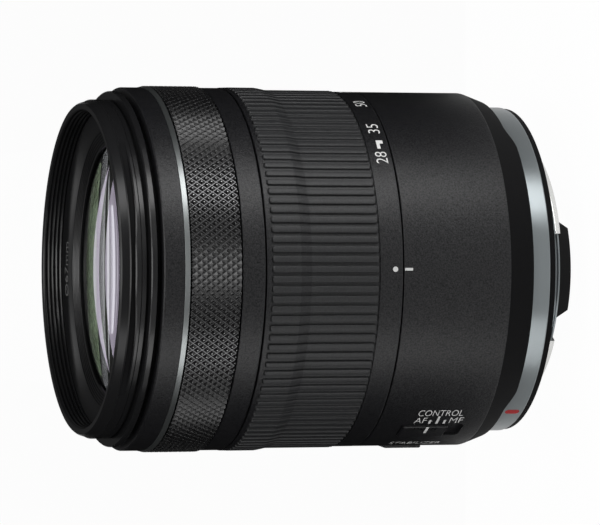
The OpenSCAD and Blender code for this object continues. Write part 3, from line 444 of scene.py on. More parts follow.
def makeFilterRing(d):
    low, high, outer = span("filter_ring")
    bore, edge, draft, half = d["bore"], d["edge"], d["grooveDraft"], d["grooveHalf"]
    top, thread, rows = high - d["threadTop"], high - d["threadDepth"], d["threadRows"]
    grooveLow, grooveHigh, line = high - d["grooveBottom"], high - d["grooveTop"], high - d["line"]
    tip, deep = outer - d["tipDrop"], outer - d["grooveDepth"]
    slotR, slotTop = outer - d["slotDepth"], low + d["slot"]
    outline = [(bore - d["undercut"], low), (slotR, low), (slotR, slotTop),
               (outer - d["slotEdge"], slotTop), (outer, slotTop + d["slotEdge"]),
               (outer, line - d["lineHalf"]), (outer - d["lineDepth"], line), (outer, line + d["lineHalf"]),
               (outer, grooveLow - edge), (outer - frontLean * edge, grooveLow),
               (deep, grooveLow + draft), (deep, grooveHigh - draft)]
    outline += [(outer - inward, grooveHigh + up) for inward, up in d["grooveLip"]]
    outline += [(tip, high - d["tipEdge"]), (tip - frontLean * d["tipEdge"], high)]
    outline += [(bore + outward, high - down) for outward, down in d["mouth"]]
    outline += [(bore, top - (top - thread) * k / rows) for k in range(rows + 1)]
    outline.append((bore - d["undercut"], thread - d["threadFoot"]))
    zoneLow, zoneHigh = grooveLow - edge - hair, grooveHigh + d["grooveLip"][1][1] + hair

    def relief(angle, r, z):
        if r == bore:
            turn = ((z - top) / d["pitch"] + angle / 360 + d["phase"]) % 1
            behind = (turn - d["crestStart"]) / d["crestRise"]  # steep behind, leaning to the front
            crest = max(min(behind, 1, (d["crestEnd"] - turn) / d["crestFall"]), 0)
            fade = smoothStep(thread, thread + d["runOut"], z) * (1 - smoothStep(top - d["runIn"], top, z))
            return r - d["crest"] * crest * fade, z
        if r > (bore + outer) / 2 and zoneLow < z < zoneHigh:
            near = min(abs(angleFrom(angle, nearSide)), abs(angleFrom(angle, nearSide + 180)))
            if z < (grooveLow + grooveHigh) / 2:
                z -= d["grooveWiden"] * smoothStep(d["widenStart"], d["widenEnd"], near)
            return outer + (r - outer) * (1 - smoothStep(half - d["grooveFade"], half, near)), z
        return r, z

    ring = turned("filterRing", outline, 360, relief, 20)
    kinds = []
    # the groove's walls and floor, the slot and the thread valleys get the less shiny black, and the faces in
    # front of the groove the duller anodised copy: painted shade
    for face in ring.data.polygons:
        r, z = face.center.xy.length / mm, face.center.z / mm
        near = abs(angleFrom(math.degrees(math.atan2(face.center.y, face.center.x)), nearSide))
        inGroove = face.index % len(outline) in d["grooveRows"] and min(near, 180 - near) < half
        inSlot = z < slotTop + hair and r < outer - d["slotEdge"]
        inValley = thread < z < top and abs(r - bore) < d["valley"]
        bandKind = 2 if z > grooveHigh else 0
        kinds.append(1 if inGroove or inSlot or inValley else bandKind)
    return ring, kinds


ring, kinds = makeFilterRing(filterRing)
carry(ring, "front_barrel", blackAnodised, "black_coated_plastic", "filter_ring")
setKinds(ring, kinds, shadeAndMattBlack, dullAnodisedAndShade)

# Name ring: the cone round the front glass, with fine light-trap grooves at its inner edge

nameRing = {"glassEdge": 26.2, "innerRise": 0.45, "grooves": 5, "grooveStart": 0.35, "groovePitch": 0.5,
            "grooveDepth": 0.2, "grooveSteps": 8}


def coneAt(d, r):
    # height and slope of the cone at this radius
    low, high, outer = span("name_ring")
    slope = (high - low - d["innerRise"]) / (outer - d["glassEdge"])
    return low + d["innerRise"] + slope * (r - d["glassEdge"]), slope


def makeNameRing(d):
    low, high, outer = span("name_ring")
    outline = [(d["glassEdge"], low), (outer, low), (outer, high)]
    steps = d["grooves"] * d["grooveSteps"]
    grooved = d["grooves"] * d["groovePitch"]
    for k in range(steps + 1):
        r = d["glassEdge"] + d["grooveStart"] + grooved * (1 - k / steps)
        dip = d["grooveDepth"] * (0.5 - 0.5 * math.cos(2 * math.pi * d["grooves"] * k / steps))
        outline.append((r, coneAt(d, r)[0] - dip))
    outline.append((d["glassEdge"], low + d["innerRise"]))
    return turned("nameRing", outline, 288, None, 60)


ring = carry(makeNameRing(nameRing), "front_barrel", dullAnodisedAndShade, "dark_inner_plastic", "name_ring")
grooveEnd = nameRing["glassEdge"] + nameRing["grooveStart"] + nameRing["grooves"] * nameRing["groovePitch"]
# the light-trap grooves in the glossier black: a painted highlight
finishWhere(ring, threadBlack, lambda face: face.center.xy.length < grooveEnd * mm)

# Glass at the front: the large coated element, the hollow one behind it and the first of the variator

glasses = {
    "frontElement": {"node": "front_element", "rim": 27.5, "front": 124, "back": 0, "body": "front_barrel",
                     "glass": frontGlass, "slot": "coated_glass"},
    "secondElement": {"node": "second_element", "rim": 26.2, "front": -85, "back": -200,
                      "body": "front_barrel", "glass": innerGlass, "slot": "inner_glass"},
    "variatorElement": {"node": "variator_front_element", "rim": 17, "front": 200, "back": -25,
                        "body": "variator", "glass": innerGlass, "slot": "inner_glass"},
}
glassOnly = bpy.data.collections.new("glassOnly")  # what the three lamps for the glass light
allButGlass = bpy.data.collections.new("allButGlass")  # holds what the strips and the front panel leave out
for name, d in glasses.items():
    low, high = span(d["node"])[:2]
    front = high + min(sagAt(d["front"], d["rim"]), 0)
    back = low - min(sagAt(d["back"], d["rim"]), 0)
    piece = lensDisc(name, d["rim"], front, d["front"], back, d["back"])
    carry(piece, d["body"], d["glass"], d["slot"], d["node"])
    glassOnly.objects.link(piece)
    allButGlass.objects.link(piece)
for entry in allButGlass.collection_objects:
    entry.light_linking.link_state = "EXCLUDE"

# Extending barrel with its lip

innerBarrel = {"tube": 34.6, "bore": 33.4, "lip": 1.3, "lipFoot": 0.1, "edge": 0.25, "round": 0.04,
               "gap": 4.0}  # painted shade: the less shiny part of the tube under the lip


def makeInnerBarrel(d):
    low, high, lipR = span("inner_barrel")
    tube, lipLow, edge = d["tube"], high - d["lip"], d["edge"]
    outline = [(d["bore"], low), (tube, low), (tube, high - d["gap"], 0), (tube, lipLow),
               (lipR - d["lipFoot"], lipLow), (lipR, lipLow + d["lipFoot"]), (lipR, high - edge),
               (lipR - frontLean * edge, high), (d["bore"], high)]
    return turned("innerBarrel", rounded(outline, d["round"]), 288, None, 20)


ring = makeInnerBarrel(innerBarrel)
carry(ring, "front_barrel", blackAnodised, "black_coated_plastic", "inner_barrel")
# the top of the tube under the lip in the less shiny black: painted shade
shadeLow = span("inner_barrel")[1] - innerBarrel["gap"]
shadeR = innerBarrel["tube"] + innerBarrel["lipFoot"]
finishWhere(ring, shadeAndMattBlack, lambda face: face.center.xy.length < shadeR * mm and face.center.z > shadeLow * mm)

# Plain fixed rings: front ring, silver accent and smooth ring

plainRings = {"seat": 36.05, "edge": 0.3, "frontBore": 34.9, "frontLip": 0.9, "frontFoot": 0.12,
              "frontTip": 0.06, "frontRound": 0.2, "accentDrop": 0.25, "accentFoot": 0.1, "accentRound": 0.05}


def makeFrontRing(d):
    low, high, outer = span("front_ring")
    edge, tip, lipLow = d["edge"], d["frontTip"], high - d["frontLip"]
    outline = [(d["seat"], low), (outer, low, d["frontFoot"]), (outer, high - edge, tip),
               (outer - frontLean * edge, high, tip), (d["frontBore"], high), (d["frontBore"], lipLow),
               (d["seat"], lipLow)]
    return turned("frontRing", rounded(outline, d["frontRound"]), 288, None, 20)


def makeAccentRing(d):
    low, high, outer = span("accent_ring")
    outline = [(d["seat"], low), (outer, low, d["accentFoot"]), (outer - d["accentDrop"], high),
               (d["seat"], high)]
    return turned("accentRing", rounded(outline, d["accentRound"]))


def makeSmoothRing(d):
    low, high, outer = span("smooth_ring")
    outline = [(d["seat"], low), (outer, low), (outer, high), (d["seat"], high)]
    return turned("smoothRing", rounded(outline, d["edge"]))


carry(makeFrontRing(plainRings), "body", paint, "black_coated_plastic", "front_ring")
carry(makeAccentRing(plainRings), "body", accentSilver, "silver_accent", "accent_ring")
carry(makeSmoothRing(plainRings), "body", paint, "black_coated_plastic", "smooth_ring")

# Control ring: a knurl of staggered four-sided pyramids with narrow flat valleys and small flat tops

controlRing = {"seat": 36.2, "bands": 5, "teeth": 159, "depth": 0.32, "margin": 0.1, "top": 0.17, "foot": 0.9}


def makeControlRing(d):
    low, high, outer = span("control_ring")
    start = low + d["margin"]
    stepZ = (high - low - 2 * d["margin"]) / (2 * d["bands"])
    stepAngle = math.pi / d["teeth"]
    ways = [(1, 0), (0, 1), (-1, 0), (0, -1)]  # a pyramid's corners: onwards, to the front, back, to the rear
    lastRow = 2 * d["bands"] + 1
    places = [(i, j) for j in range(-1, lastRow + 1) for i in range(j % 2, 2 * d["teeth"], 2)]
    shape = bmesh.new()
    corners = {}
    for i, j in places:
        for share, r in ((d["top"], outer), (d["foot"], outer - d["depth"])):
            corners[i, j, share] = [
                shape.verts.new(atAngle(r, stepAngle * (i + di * share), start + stepZ * (j + dj * share)))
                for di, dj in ways]

    def foot(i, j):
        return corners[i % (2 * d["teeth"]), j, d["foot"]]

    for i, j in places:
        top, base = corners[i, j, d["top"]], foot(i, j)
        shape.faces.new(top).material_index = 1
        for k in range(4):
            shape.faces.new((top[k], base[k], base[(k + 1) % 4], top[(k + 1) % 4]))
        if j < lastRow:
            ahead = foot(i + 1, j + 1)
            shape.faces.new((base[0], ahead[3], ahead[2], base[1])).material_index = 2
        if j > -1:
            behind = foot(i + 1, j - 1)
            shape.faces.new((base[3], behind[2], behind[1], base[0])).material_index = 2
        if -1 < j < lastRow:  # the small square where two valleys cross, beside this pyramid
            square = (base[0], behind[1], foot(i + 2, j)[2], ahead[3])
            shape.faces.new(square).material_index = 2
    for z, side in ((start, -1), (high - d["margin"], 1)):  # the knurl is cut off straight at both ends
        bmesh.ops.bisect_plane(shape, geom=shape.verts[:] + shape.edges[:] + shape.faces[:], dist=1e-7,
                               plane_co=(0, 0, z * mm), plane_no=(0, 0, side), clear_outer=True)
    rims = [e for e in shape.edges if e.is_boundary]
    for v in bmesh.ops.extrude_edge_only(shape, edges=rims)["geom"]:
        if isinstance(v, bmesh.types.BMVert):
            shrink = d["seat"] * mm / v.co.xy.length
            end = low if v.co.z < (low + high) / 2 * mm else high
            v.co = (v.co.x * shrink, v.co.y * shrink, end * mm)
    bmesh.ops.bridge_loops(shape, edges=[e for e in shape.edges if e.is_boundary])
    bmesh.ops.recalc_face_normals(shape, faces=shape.faces)
    mesh = toMesh("controlRing", shape)
    return addObject("controlRing", mesh), [face.material_index for face in mesh.polygons]


ring, kinds = makeControlRing(controlRing)
carry(ring, "control_ring_body", knurlBlack, "black_coated_plastic", "control_ring")
# the lighter metals on the tops and in the valleys are painted highlights
setKinds(ring, kinds, knurlTop, knurlValley)
knurlOnly = bpy.data.collections.new("knurlOnly")  # what the two lamps for the knurl light
knurlOnly.objects.link(ring)

# Zoom ring: scale band, core under the grip and front rim

zoomRing = {"seat": 36.2, "core": 37.0, "band": 37.44, "edge": 0.2, "gripEdge": 0.08}


def makeZoomRing(d):
    low, high, rim = span("zoom_ring")
    gripLow, gripHigh = span("zoom_grip")[:2]
    outline = [(d["seat"], low), (d["band"], low), (d["band"], gripLow, d["gripEdge"]),
               (d["core"], gripLow, 0), (d["core"], gripHigh, 0), (rim, gripHigh, d["gripEdge"]), (rim, high),
               (d["seat"], high)]
    return turned("zoomRing", rounded(outline, d["edge"]))


carry(makeZoomRing(zoomRing), "zoom_ring_body", paint, "black_coated_plastic", "zoom_ring")

# Rubber grip: raised ribs with round ends that run over the step between the two diameters

zoomGrip = {
    "ribs": 116, "rearR": 37.63, "seat": 37.02, "groove": 0.55, "halfRib": 0.66, "crown": 0.06, "soft": 0.08,
    "corner": 0.4, "stepStart": 0.63, "stepEnd": 0.73, "endBand": 0.3, "endZone": 1.6,
    "rows": [12, 5, 4, 4, 12],  # rear end, rear diameter, step, front diameter, front end
    "columns": [0.3, 0.54, 0.6, 0.66, 0.73, 0.79, 0.9],  # from a rib's middle to each side
}


def makeZoomGrip(d):
    low, high, frontR = span("zoom_grip")
    stepLow, stepHigh = [low + d[end] * (high - low) for end in ("stepStart", "stepEnd")]
    first, last = low + d["endBand"] + d["corner"], high - d["endBand"] - d["corner"]
    stops = [low, low + d["endZone"], stepLow, stepHigh, high - d["endZone"], high]
    heights = []
    for start, end, rows in zip(stops, stops[1:], d["rows"]):
        heights += [start + (end - start) * k / rows for k in range(rows)]
    outline = [(d["seat"], low)]
    for z in heights + [high]:
        climb = min(max((z - stepLow) / (stepHigh - stepLow), 0), 1)
        outline.append((d["rearR"] + (frontR - d["rearR"]) * climb, z))
    outline.append((d["seat"], high))
    pitch = 2 * math.pi * frontR / d["ribs"]
    offsets = [-offset for offset in reversed(d["columns"])] + [0] + d["columns"] + [pitch / 2]
    angles = [360 * (k + offset / pitch) / d["ribs"] for k in range(d["ribs"]) for offset in offsets]

    def relief(angle, r, z):
        if r == d["seat"]:
            return r, z
        across = ((d["ribs"] * angle / 360 + 0.5) % 1 - 0.5) * pitch
        beyond = max(first - z, z - last, 0)
        beside = max(abs(across) - d["halfRib"] + d["corner"], 0)
        away = math.hypot(beside, beyond) - d["corner"]  # distance outside the rib's edge
        cut = smoothStep(-d["soft"], d["soft"], away)
        return r - d["groove"] * cut - d["crown"] * (across / d["halfRib"]) ** 2 * (1 - cut), z

    return turned("zoomGrip", outline, angles, relief, 80), stepLow, stepHigh


ring, stepLow, stepHigh = makeZoomGrip(zoomGrip)
carry(ring, "zoom_ring_body", rubber, "black_rubber", "zoom_grip")
# the slope of the grip in the less shiny rubber: painted shade
finishWhere(ring, shadedRubber, lambda face: stepLow < face.center.z / mm < stepHigh)

# Rear barrel: chamfered skirt with its tongue, recesses for the switches

rearBarrel = {"inner": 36.1, "skirtInner": 34.6, "seat": 10.4, "chamfer": 10.2, "skirtR": 35.3,
              "tongueHalf": 45.5, "tongueSlope": 11, "tongueRise": 1.5, "still": 0.5, "edge": 0.35,
              "chamferEdge": 0.25, "footEdge": 0.15, "paintedShadeTop": 10.18}  # still: what stays beside the tongue
switches = {
    "mode": {"angle": -154, "low": 14.2, "length": 13.6, "travel": 3.2, "body": "mode_switch",
             "node": "focus_mode_knob"},
    "stabiliser": {"angle": 176, "low": 14.6, "length": 11.4, "travel": 2.8, "body": "stabiliser_switch",
                   "node": "stabiliser_knob"},
}
recess = {"width": 5.5, "depth": 0.72, "corner": 0.8, "gap": 0.3, "stem": 3.0, "stemWidth": 1.8,
          "above": 2.0, "below": 1.0}  # above and below: how far the cutters pass the wall


def makeRearBarrel(d):
    low, high, outer = span("rear_barrel")
    chamferLength = d["chamfer"] - low
    outline = [(d["skirtInner"], low, 0), (d["skirtR"], low, d["footEdge"]),
               (outer, d["chamfer"], d["chamferEdge"]), (outer, high, d["edge"]), (d["inner"], high, 0),
               (d["inner"], d["seat"], 0), (d["skirtInner"], d["seat"], 0)]

    def relief(angle, r, z):
        # the skirt draws back beside the tongue and stays on its cone
        if z >= d["chamfer"] - d["still"]:
            return r, z
        off = abs(angleFrom(angle, nearSide))
        rise = d["tongueRise"] * smoothStep(d["tongueHalf"], d["tongueHalf"] + d["tongueSlope"], off)
        newZ = z + rise * (d["chamfer"] - z) / chamferLength
        if r < d["skirtInner"] + hair:
            return r, newZ
        return r + (newZ - z) * (outer - d["skirtR"]) / chamferLength, newZ

    barrel = turned("rearBarrel", rounded(outline, d["edge"]), 360, relief)
    cutters = []
    gap, stem = recess["gap"], recess["stem"]
    for name, s in switches.items():
        stemLow = s["low"] + gap + (s["length"] - s["travel"] - 2 * gap - stem) / 2
        cutters.append(barCutter(name + "Recess", s["angle"], outer - recess["depth"],
                                 outer + recess["above"], recess["width"], s["low"], s["length"],
                                 recess["corner"]))
        cutters.append(barCutter(name + "Stem", s["angle"], d["inner"] - recess["below"], outer,
                                 recess["stemWidth"] + 2 * gap, stemLow - gap,
                                 stem + s["travel"] + 2 * gap, 0))
    cutAway(barrel, cutters)
    return barrel


barrel = carry(makeRearBarrel(rearBarrel), "body", paint, "black_coated_plastic", "rear_barrel")
# the chamfered skirt below this height in the less shiny black: painted shade
finishWhere(barrel, shadeAndMattBlack, lambda face: face.center.z < rearBarrel["paintedShadeTop"] * mm)

# Switch knobs: slides with a slanted upper edge and short notches along it

knob = {"rise": 0.5, "footGap": 0.15, "lowerDrop": 0.15, "lowerEdge": 0.2, "edge": 0.22, "slant": 0.18,
        "end": 0.2, "notch": 0.3, "notchDepth": 0.2, "notchLength": 1.1, "notchPitch": 0.78,
        "notchShare": 0.62, "paintedHighlightTurn": 40, "paintedHighlightShare": 0.97}  # painted highlight: the way the slanted edge faces, which gets the glossier black


def makeKnob(name, s, d):
    outer = span("rear_barrel")[2]
    top, foot = outer + d["rise"], outer - recess["depth"] + d["footGap"]
    half = recess["width"] / 2 - recess["gap"]
    length = s["length"] - s["travel"] - 2 * recess["gap"]
    high = s["low"] + s["length"] - recess["gap"]
    low = high - length
    outline = [(foot, -half), (top - d["lowerDrop"], -half), (top, -half + d["lowerEdge"]),
               (top, half - d["edge"]), (top - d["slant"], half), (foot, half)]
    rows = [(low, d["end"]), (low + d["end"], 0), (high - d["end"], 0), (high, d["end"])]
    turn = Matrix.Rotation(math.radians(s["angle"]), 3, "Z")
    vertices = [turn @ Vector((min(x, top - drop) * mm, y * mm, z * mm))
                for z, drop in rows for x, y in outline]
    count = len(outline)
    faces = [tuple(range(count)), tuple(range(3 * count, 4 * count))]
    for a in range(0, 3 * count, count):
        b = a + count
        faces += [(a + i, a + (i + 1) % count, b + (i + 1) % count, b + i) for i in range(count)]
    piece = meshPiece(name, vertices, faces, 20)
    notches = int(d["notchShare"] * length / d["notchPitch"])
    beside = s["angle"] + math.degrees((half - d["edge"] - d["notchLength"] / 2) / outer)
    first = (low + high) / 2 - (notches - 1) * d["notchPitch"] / 2 - d["notch"] / 2
    cutAway(piece, [barCutter("notch", beside, top - d["notchDepth"], top + recess["above"], d["notchLength"],
                              first + k * d["notchPitch"], d["notch"], 0) for k in range(notches)], 20)
    return piece


for name, s in switches.items():
    piece = carry(makeKnob(name + "Knob", s, knob), s["body"], paint, "black_coated_plastic", s["node"])
    # the slanted upper edge catches the light, and the glossier black on it adds a painted highlight
    upper = Vector(atAngle(1, math.radians(s["angle"] + knob["paintedHighlightTurn"]), 0)).normalized()
    finishWhere(piece, blackAnodised, lambda face: face.normal.dot(upper) > knob["paintedHighlightShare"])

# Mount: satin ring with flange, bayonet tube and polished lugs, and the rubber gasket

mount = {
    "tubeInner": 23.0, "tube": 24.6, "seat": 33.6, "seatStep": 0.6, "rim": 3.0, "flange": 2.4,
    "round": 0.2, "rimRound": 0.25, "edge": 0.1, "grooveLow": -4.6, "grooveHigh": -4.05, "grooveDepth": 0.5,
    "grooveEdge": 0.05, "lugs": 3, "lug": 26.9, "lugRoot": 24.2, "lugLow": -4.6, "lugHigh": -3.5,
    "lugEdge": 0.15, "lugFirst": -39, "lugHalf": 35, "lugSteps": 26, "screws": 4, "screwFirst": 45,
    "screwCircle": 29.1, "headHole": 1.7, "headDepth": 1.1,
}
gasket = {"seatGap": 0.05, "rise": 0.4, "lip": 0.45, "tip": 0.1, "round": 0.12}


def makeMount(d):
    low, high, outer = span("mount_plate")
    tube, edge, grooveEdge, deep = d["tube"], d["edge"], d["grooveEdge"], d["tube"] - d["grooveDepth"]
    outline = [(d["tubeInner"], low), (tube, low), (tube, d["grooveLow"], grooveEdge),
               (deep, d["grooveLow"], grooveEdge), (deep, d["grooveHigh"], grooveEdge),
               (tube, d["grooveHigh"], grooveEdge), (tube, 0, edge), (d["seat"], 0, edge),
               (d["seat"], d["seatStep"], 0), (outer, d["seatStep"], d["rimRound"]), (outer, high, edge),
               (outer - d["rim"], high, 0), (outer - d["rim"], d["flange"], 0),
               (d["tubeInner"], d["flange"], 0)]
    ring = turned("mountRing", rounded(outline, d["round"]), 288)
    cutters = []
    for k in range(d["screws"]):
        angle = math.radians(d["screwFirst"] + 360 * k / d["screws"])
        shape = bmesh.new()
        bmesh.ops.create_cone(shape, cap_ends=True, segments=32, radius1=d["headHole"] * mm,
                              radius2=d["headHole"] * mm, depth=2 * d["headDepth"] * mm,
                              matrix=Matrix.Translation(atAngle(d["screwCircle"], angle, 0)))
        cutters.append(addObject("screwHole", toMesh("screwHole", shape)))
    cutAway(ring, cutters, 30)
    return ring


def makeLugs(d):
    outline = rounded([(d["lugRoot"], d["lugLow"]), (d["lug"], d["lugLow"]), (d["lug"], d["lugHigh"]),
                       (d["lugRoot"], d["lugHigh"])], d["lugEdge"], 3)
    steps, rows = d["lugSteps"], len(outline)
    vertices, faces = [], []
    for k in range(d["lugs"]):
        base = len(vertices)
        for i in range(steps + 1):
            turn = d["lugFirst"] + 360 / d["lugs"] * k + d["lugHalf"] * (2 * i / steps - 1)
            vertices += [atAngle(r, math.radians(turn), z) for r, z in outline]
        for a in range(base, base + steps * rows, rows):
            b = a + rows
            faces += [(a + j, b + j, b + (j + 1) % rows, a + (j + 1) % rows) for j in range(rows)]
        faces.append(tuple(base + j for j in range(rows)))
        faces.append(tuple(base + steps * rows + j for j in reversed(range(rows))))
    return meshPiece("bayonetLugs", vertices, faces, 40)


def makeGasket(d):
    low, high, outer = span("mount_gasket")
    seat = mount["seat"] + d["seatGap"]
    outline = [(seat, high), (seat, low * d["rise"]), (outer - d["lip"], low), (outer - d["tip"], low),
               (outer, high)]
    return turned("mountGasket", rounded(outline, d["round"]))


mountOnly = bpy.data.collections.new("mountOnly")  # what the two lamps for the mount light
mountOnly.objects.link(carry(makeMount(mount), "body", mountSteel, "satin_mount_metal", "mount_plate"))
mountOnly.objects.link(carry(makeLugs(mount), "body", polishedLug, "satin_mount_metal"))
carry(makeGasket(gasket), "body", shadeAndMattBlack, "black_rubber", "mount_gasket")
print("turned pieces ready")

# Printed marks, wrapped round the barrel

letter = {"capShare": 0.7, "depth": 0.02, "thinner": -0.03, "smooth": 4}
plate = {"barDepth": 0.04, "barCuts": 5, "pillDepth": 0.06, "pillSides": 32}


def wrapped(name, flat, radius, phi, z, body, along=False, material=whiteInk):
    # bends a flat mesh in millimetres onto the barrel: along the axis, or round it with its top to the front
    for v in flat.vertices:
        x, y, lift = v.co
        around, axial = (y, -x) if along else (x, y)
        v.co = atAngle(radius + lift, math.radians(nearSide + phi) + around / radius, z + axial)
    carry(addObject(name, flat), body, material)


def lettering(text, height, length):
    # flat letters of this cap height, drawn out to this length
    curve = bpy.data.curves.new("letters", "FONT")
    curve.body = text
    curve.size = height / letter["capShare"]
    curve.align_x = "CENTER"
    curve.align_y = "CENTER"
    curve.extrude = letter["depth"]
    curve.offset = letter["thinner"]
    curve.resolution_u = letter["smooth"]
    holder = addObject("letters", curve)
    graph = bpy.context.evaluated_depsgraph_get()
    mesh = bpy.data.meshes.new_from_object(holder.evaluated_get(graph))
    bpy.data.objects.remove(holder)
    left, right = min(v.co.x for v in mesh.vertices), max(v.co.x for v in mesh.vertices)
    foot, top = min(v.co.y for v in mesh.vertices), max(v.co.y for v in mesh.vertices)
    for v in mesh.vertices:
        v.co.x = (v.co.x - (left + right) / 2) * length / (right - left)
        v.co.y = (v.co.y - (foot + top) / 2) * height / (top - foot)
    return mesh


def bar(width, height):
    # a thin plate in strips, so that it follows the barrel
    shape = bmesh.new()
    bmesh.ops.create_cube(shape, size=1)
    bmesh.ops.subdivide_edges(shape, edges=shape.edges[:], cuts=plate["barCuts"], use_grid_fill=True)
    bmesh.ops.scale(shape, vec=(width, height, plate["barDepth"]), verts=shape.verts)
    return toMesh("bar", shape)


def pill(length, width):
    # a thin plate with half-round ends
    shape = bmesh.new()
    bmesh.ops.create_cone(shape, cap_ends=True, segments=plate["pillSides"], radius1=width / 2,
                          radius2=width / 2, depth=plate["pillDepth"])
    for v in shape.verts:
        v.co.x += math.copysign((length - width) / 2, v.co.x)
    return toMesh("pill", shape)


# angles of the marks are counted from the index line
scale = {"numbers": {"28": 37.8, "35": 50.8, "50": 67.0, "70": 85.0}, "height": 2.5, "length": 3.05,
         "z": 35.7}
corner = {"cornerMark": {"width": 0.9, "height": 1.45, "phi": 44.4, "z": 35.3},  # the corner beside 28
          "cornerArm": {"width": 1.5, "height": 0.7, "phi": 42.6, "z": 35.7}}
stored = {"dot": 1.1, "dotZ": 35.15, "lineWidth": 0.55, "lineLength": 1.7, "lineZ": 32.25}
scaleR = zoomRing["band"]
barrelR = span("rear_barrel")[2]
for text, phi in scale["numbers"].items():
    number = lettering(text, scale["height"], scale["length"])
    wrapped("number" + text, number, scaleR, phi, scale["z"], "zoom_ring_body")
for name, d in corner.items():
    wrapped(name, bar(d["width"], d["height"]), scaleR, d["phi"], d["z"], "zoom_ring_body")
wrapped("storedDot", pill(stored["dot"], stored["dot"]), scaleR, 0, stored["dotZ"], "zoom_ring_body")
wrapped("indexLine", bar(stored["lineWidth"], stored["lineLength"]), barrelR, 0, stored["lineZ"], "body")

labels = {"control": {"text": "CONTROL", "phi": -53.1, "z": 20.45, "height": 2.05, "length": 9.8},
          "auto": {"text": "AF", "phi": -57.3, "z": 24.2, "height": 2.1, "length": 2.6},
          "manual": {"text": "MF", "phi": -57.3, "z": 16.4, "height": 2.1, "length": 2.9},
          "stabiliser": {"text": "STABILIZER", "phi": -77.8, "z": 21.5, "height": 2.2, "length": 11.2}}
for name, d in labels.items():
    words = lettering(d["text"], d["height"], d["length"])
    wrapped(name + "Label", words, barrelR, d["phi"], d["z"], "body", along=True)

ticks = {"places": [22.05, 20.45, 18.85], "heights": [1.5, 2.9, 1.5], "width": 0.5, "foot": -59.4}
for k, (z, height) in enumerate(zip(ticks["places"], ticks["heights"]), 1):
    phi = ticks["foot"] + math.degrees(height / 2 / barrelR)
    wrapped("modeTick%d" % k, bar(ticks["width"], height), barrelR, phi, z, "body", along=True)
modeIndex = {"width": 0.55, "height": 2.8, "lift": 0.56, "phi": -62.3, "z": 22.2}  # on top of the mode knob
wrapped("modeIndex", bar(modeIndex["width"], modeIndex["height"]), barrelR + modeIndex["lift"],
        modeIndex["phi"], modeIndex["z"], "mode_switch", along=True)

sizeMark = {"text": "\u00d867mm", "height": 1.15, "length": 11.6, "r": 31.2}  # diameter of the filter thread


def makeSizeMark(d, cone):
    # letters on the inside of the name ring, opposite the index line, with their tops to the front
    middle, slope = coneAt(cone, d["r"])
    lean = math.atan(slope)
    flat = lettering(d["text"], d["height"], d["length"])
    for v in flat.vertices:
        x, y, lift = v.co
        r = d["r"] + y * math.cos(lean) - lift * math.sin(lean)
        z = middle + y * math.sin(lean) + lift * math.cos(lean)
        v.co = atAngle(r, math.radians(nearSide + 180) - x / d["r"], z)
    carry(addObject("sizeMark", flat), "front_barrel", greyInk)


makeSizeMark(sizeMark, nameRing)
mountMark = {"phi": -60.4, "z": 3.0, "length": 3.1, "width": 1.7}
wrapped("mountIndex", pill(mountMark["length"], mountMark["width"]), span("mount_plate")[2], mountMark["phi"],
        mountMark["z"], "body", along=True, material=redInk)
print("marks ready")

# Floor, light and black cards, in metres and watts, and the camera, in millimetres and degrees

studio = {"floorSize": 6.0, "floorGap": 0.0001, "floorTone": "#f4f4f4", "whiteShare": 0.975,
          "mirrorShare": 0.68, "worldFill": 0.045}
lamps = {
    # two strips on the camera's side draw the long highlights
    "topStrip": {"at": (0.072, -0.077, 0.12), "aim": (0, 0, 0.12), "size": (0.035, 0.26), "power": 0.122,
                 "only": "allButGlass"},
    "bottomStrip": {"at": (-0.074, -0.075, 0.12), "aim": (0, 0, 0.12), "size": (0.035, 0.26), "power": 0.062,
                    "only": "allButGlass"},
    # more of the same two highlights on the mount
    "mountUpper": {"at": (0.072, -0.077, 0.012), "aim": (0, 0, 0.012), "size": (0.06, 0.04), "power": 0.022,
                   "only": "mountOnly"},
    "mountLower": {"at": (-0.074, -0.075, 0.012), "aim": (0, 0, 0.012), "size": (0.06, 0.04), "power": 0.02,
                   "only": "mountOnly"},
    # glints on the knurl near the silhouette
    "knurlUpper": {"at": (0.2, 0.04, 0.03), "aim": (0.037, 0, 0.073), "size": (0.08, 0.12), "power": 0.13,
                   "only": "knurlOnly", "passing": True},
    "knurlLower": {"at": (-0.2, 0.04, 0.03), "aim": (-0.037, 0, 0.073), "size": (0.08, 0.12), "power": 0.1,
                   "only": "knurlOnly", "passing": True},
    # soft light on the far side and on the front
    "backStrip": {"at": (0, 0.11, 0.04), "aim": (0, 0, 0.04), "size": (0.06, 0.09), "power": 0.06},
    "frontPanel": {"at": (0, -0.35, 0.6), "aim": (0, 0, 0.08), "size": (0.3, 0.3), "power": 1.2,
                   "only": "allButGlass"},
    # the lavender and green bands in the front glass
    "glassLow": {"at": (0, 0.5, 0.158), "aim": (0, 0, 0.088), "size": (0.45, 0.104), "power": 0.187,
                 "tint": "#e8dcf4", "only": "glassOnly"},
    "glassHigh": {"at": (0, 0.5, 0.303), "aim": (0, 0, 0.088), "size": (0.45, 0.09), "power": 0.174,
                  "tint": "#e8dcf4", "only": "glassOnly"},
    "glassSteep": {"at": (0, 0.475, 0.433), "aim": (0, 0, 0.088), "size": (0.34, 0.13), "power": 0.32,
                   "tint": "#d6e2cc", "only": "glassOnly", "passing": True},
    # a wide light high behind the lens
    "backPanel": {"at": (0, 0.35, 0.58), "aim": (0, 0, 0.088), "size": (0.4, 0.15), "power": 0.4},
}
flag = {"side": 0.072, "near": -0.035, "far": 0.12, "top": 0.2,  # the standing cards
        "spread": 0.3, "front": -0.3, "back": 0.6, "inner": 0.036, "behind": 0.05,  # the lying ones
        "cardHalf": 0.1, "cardNear": -0.55, "cardFar": -0.335, "tone": "#202020"}  # the one far in front
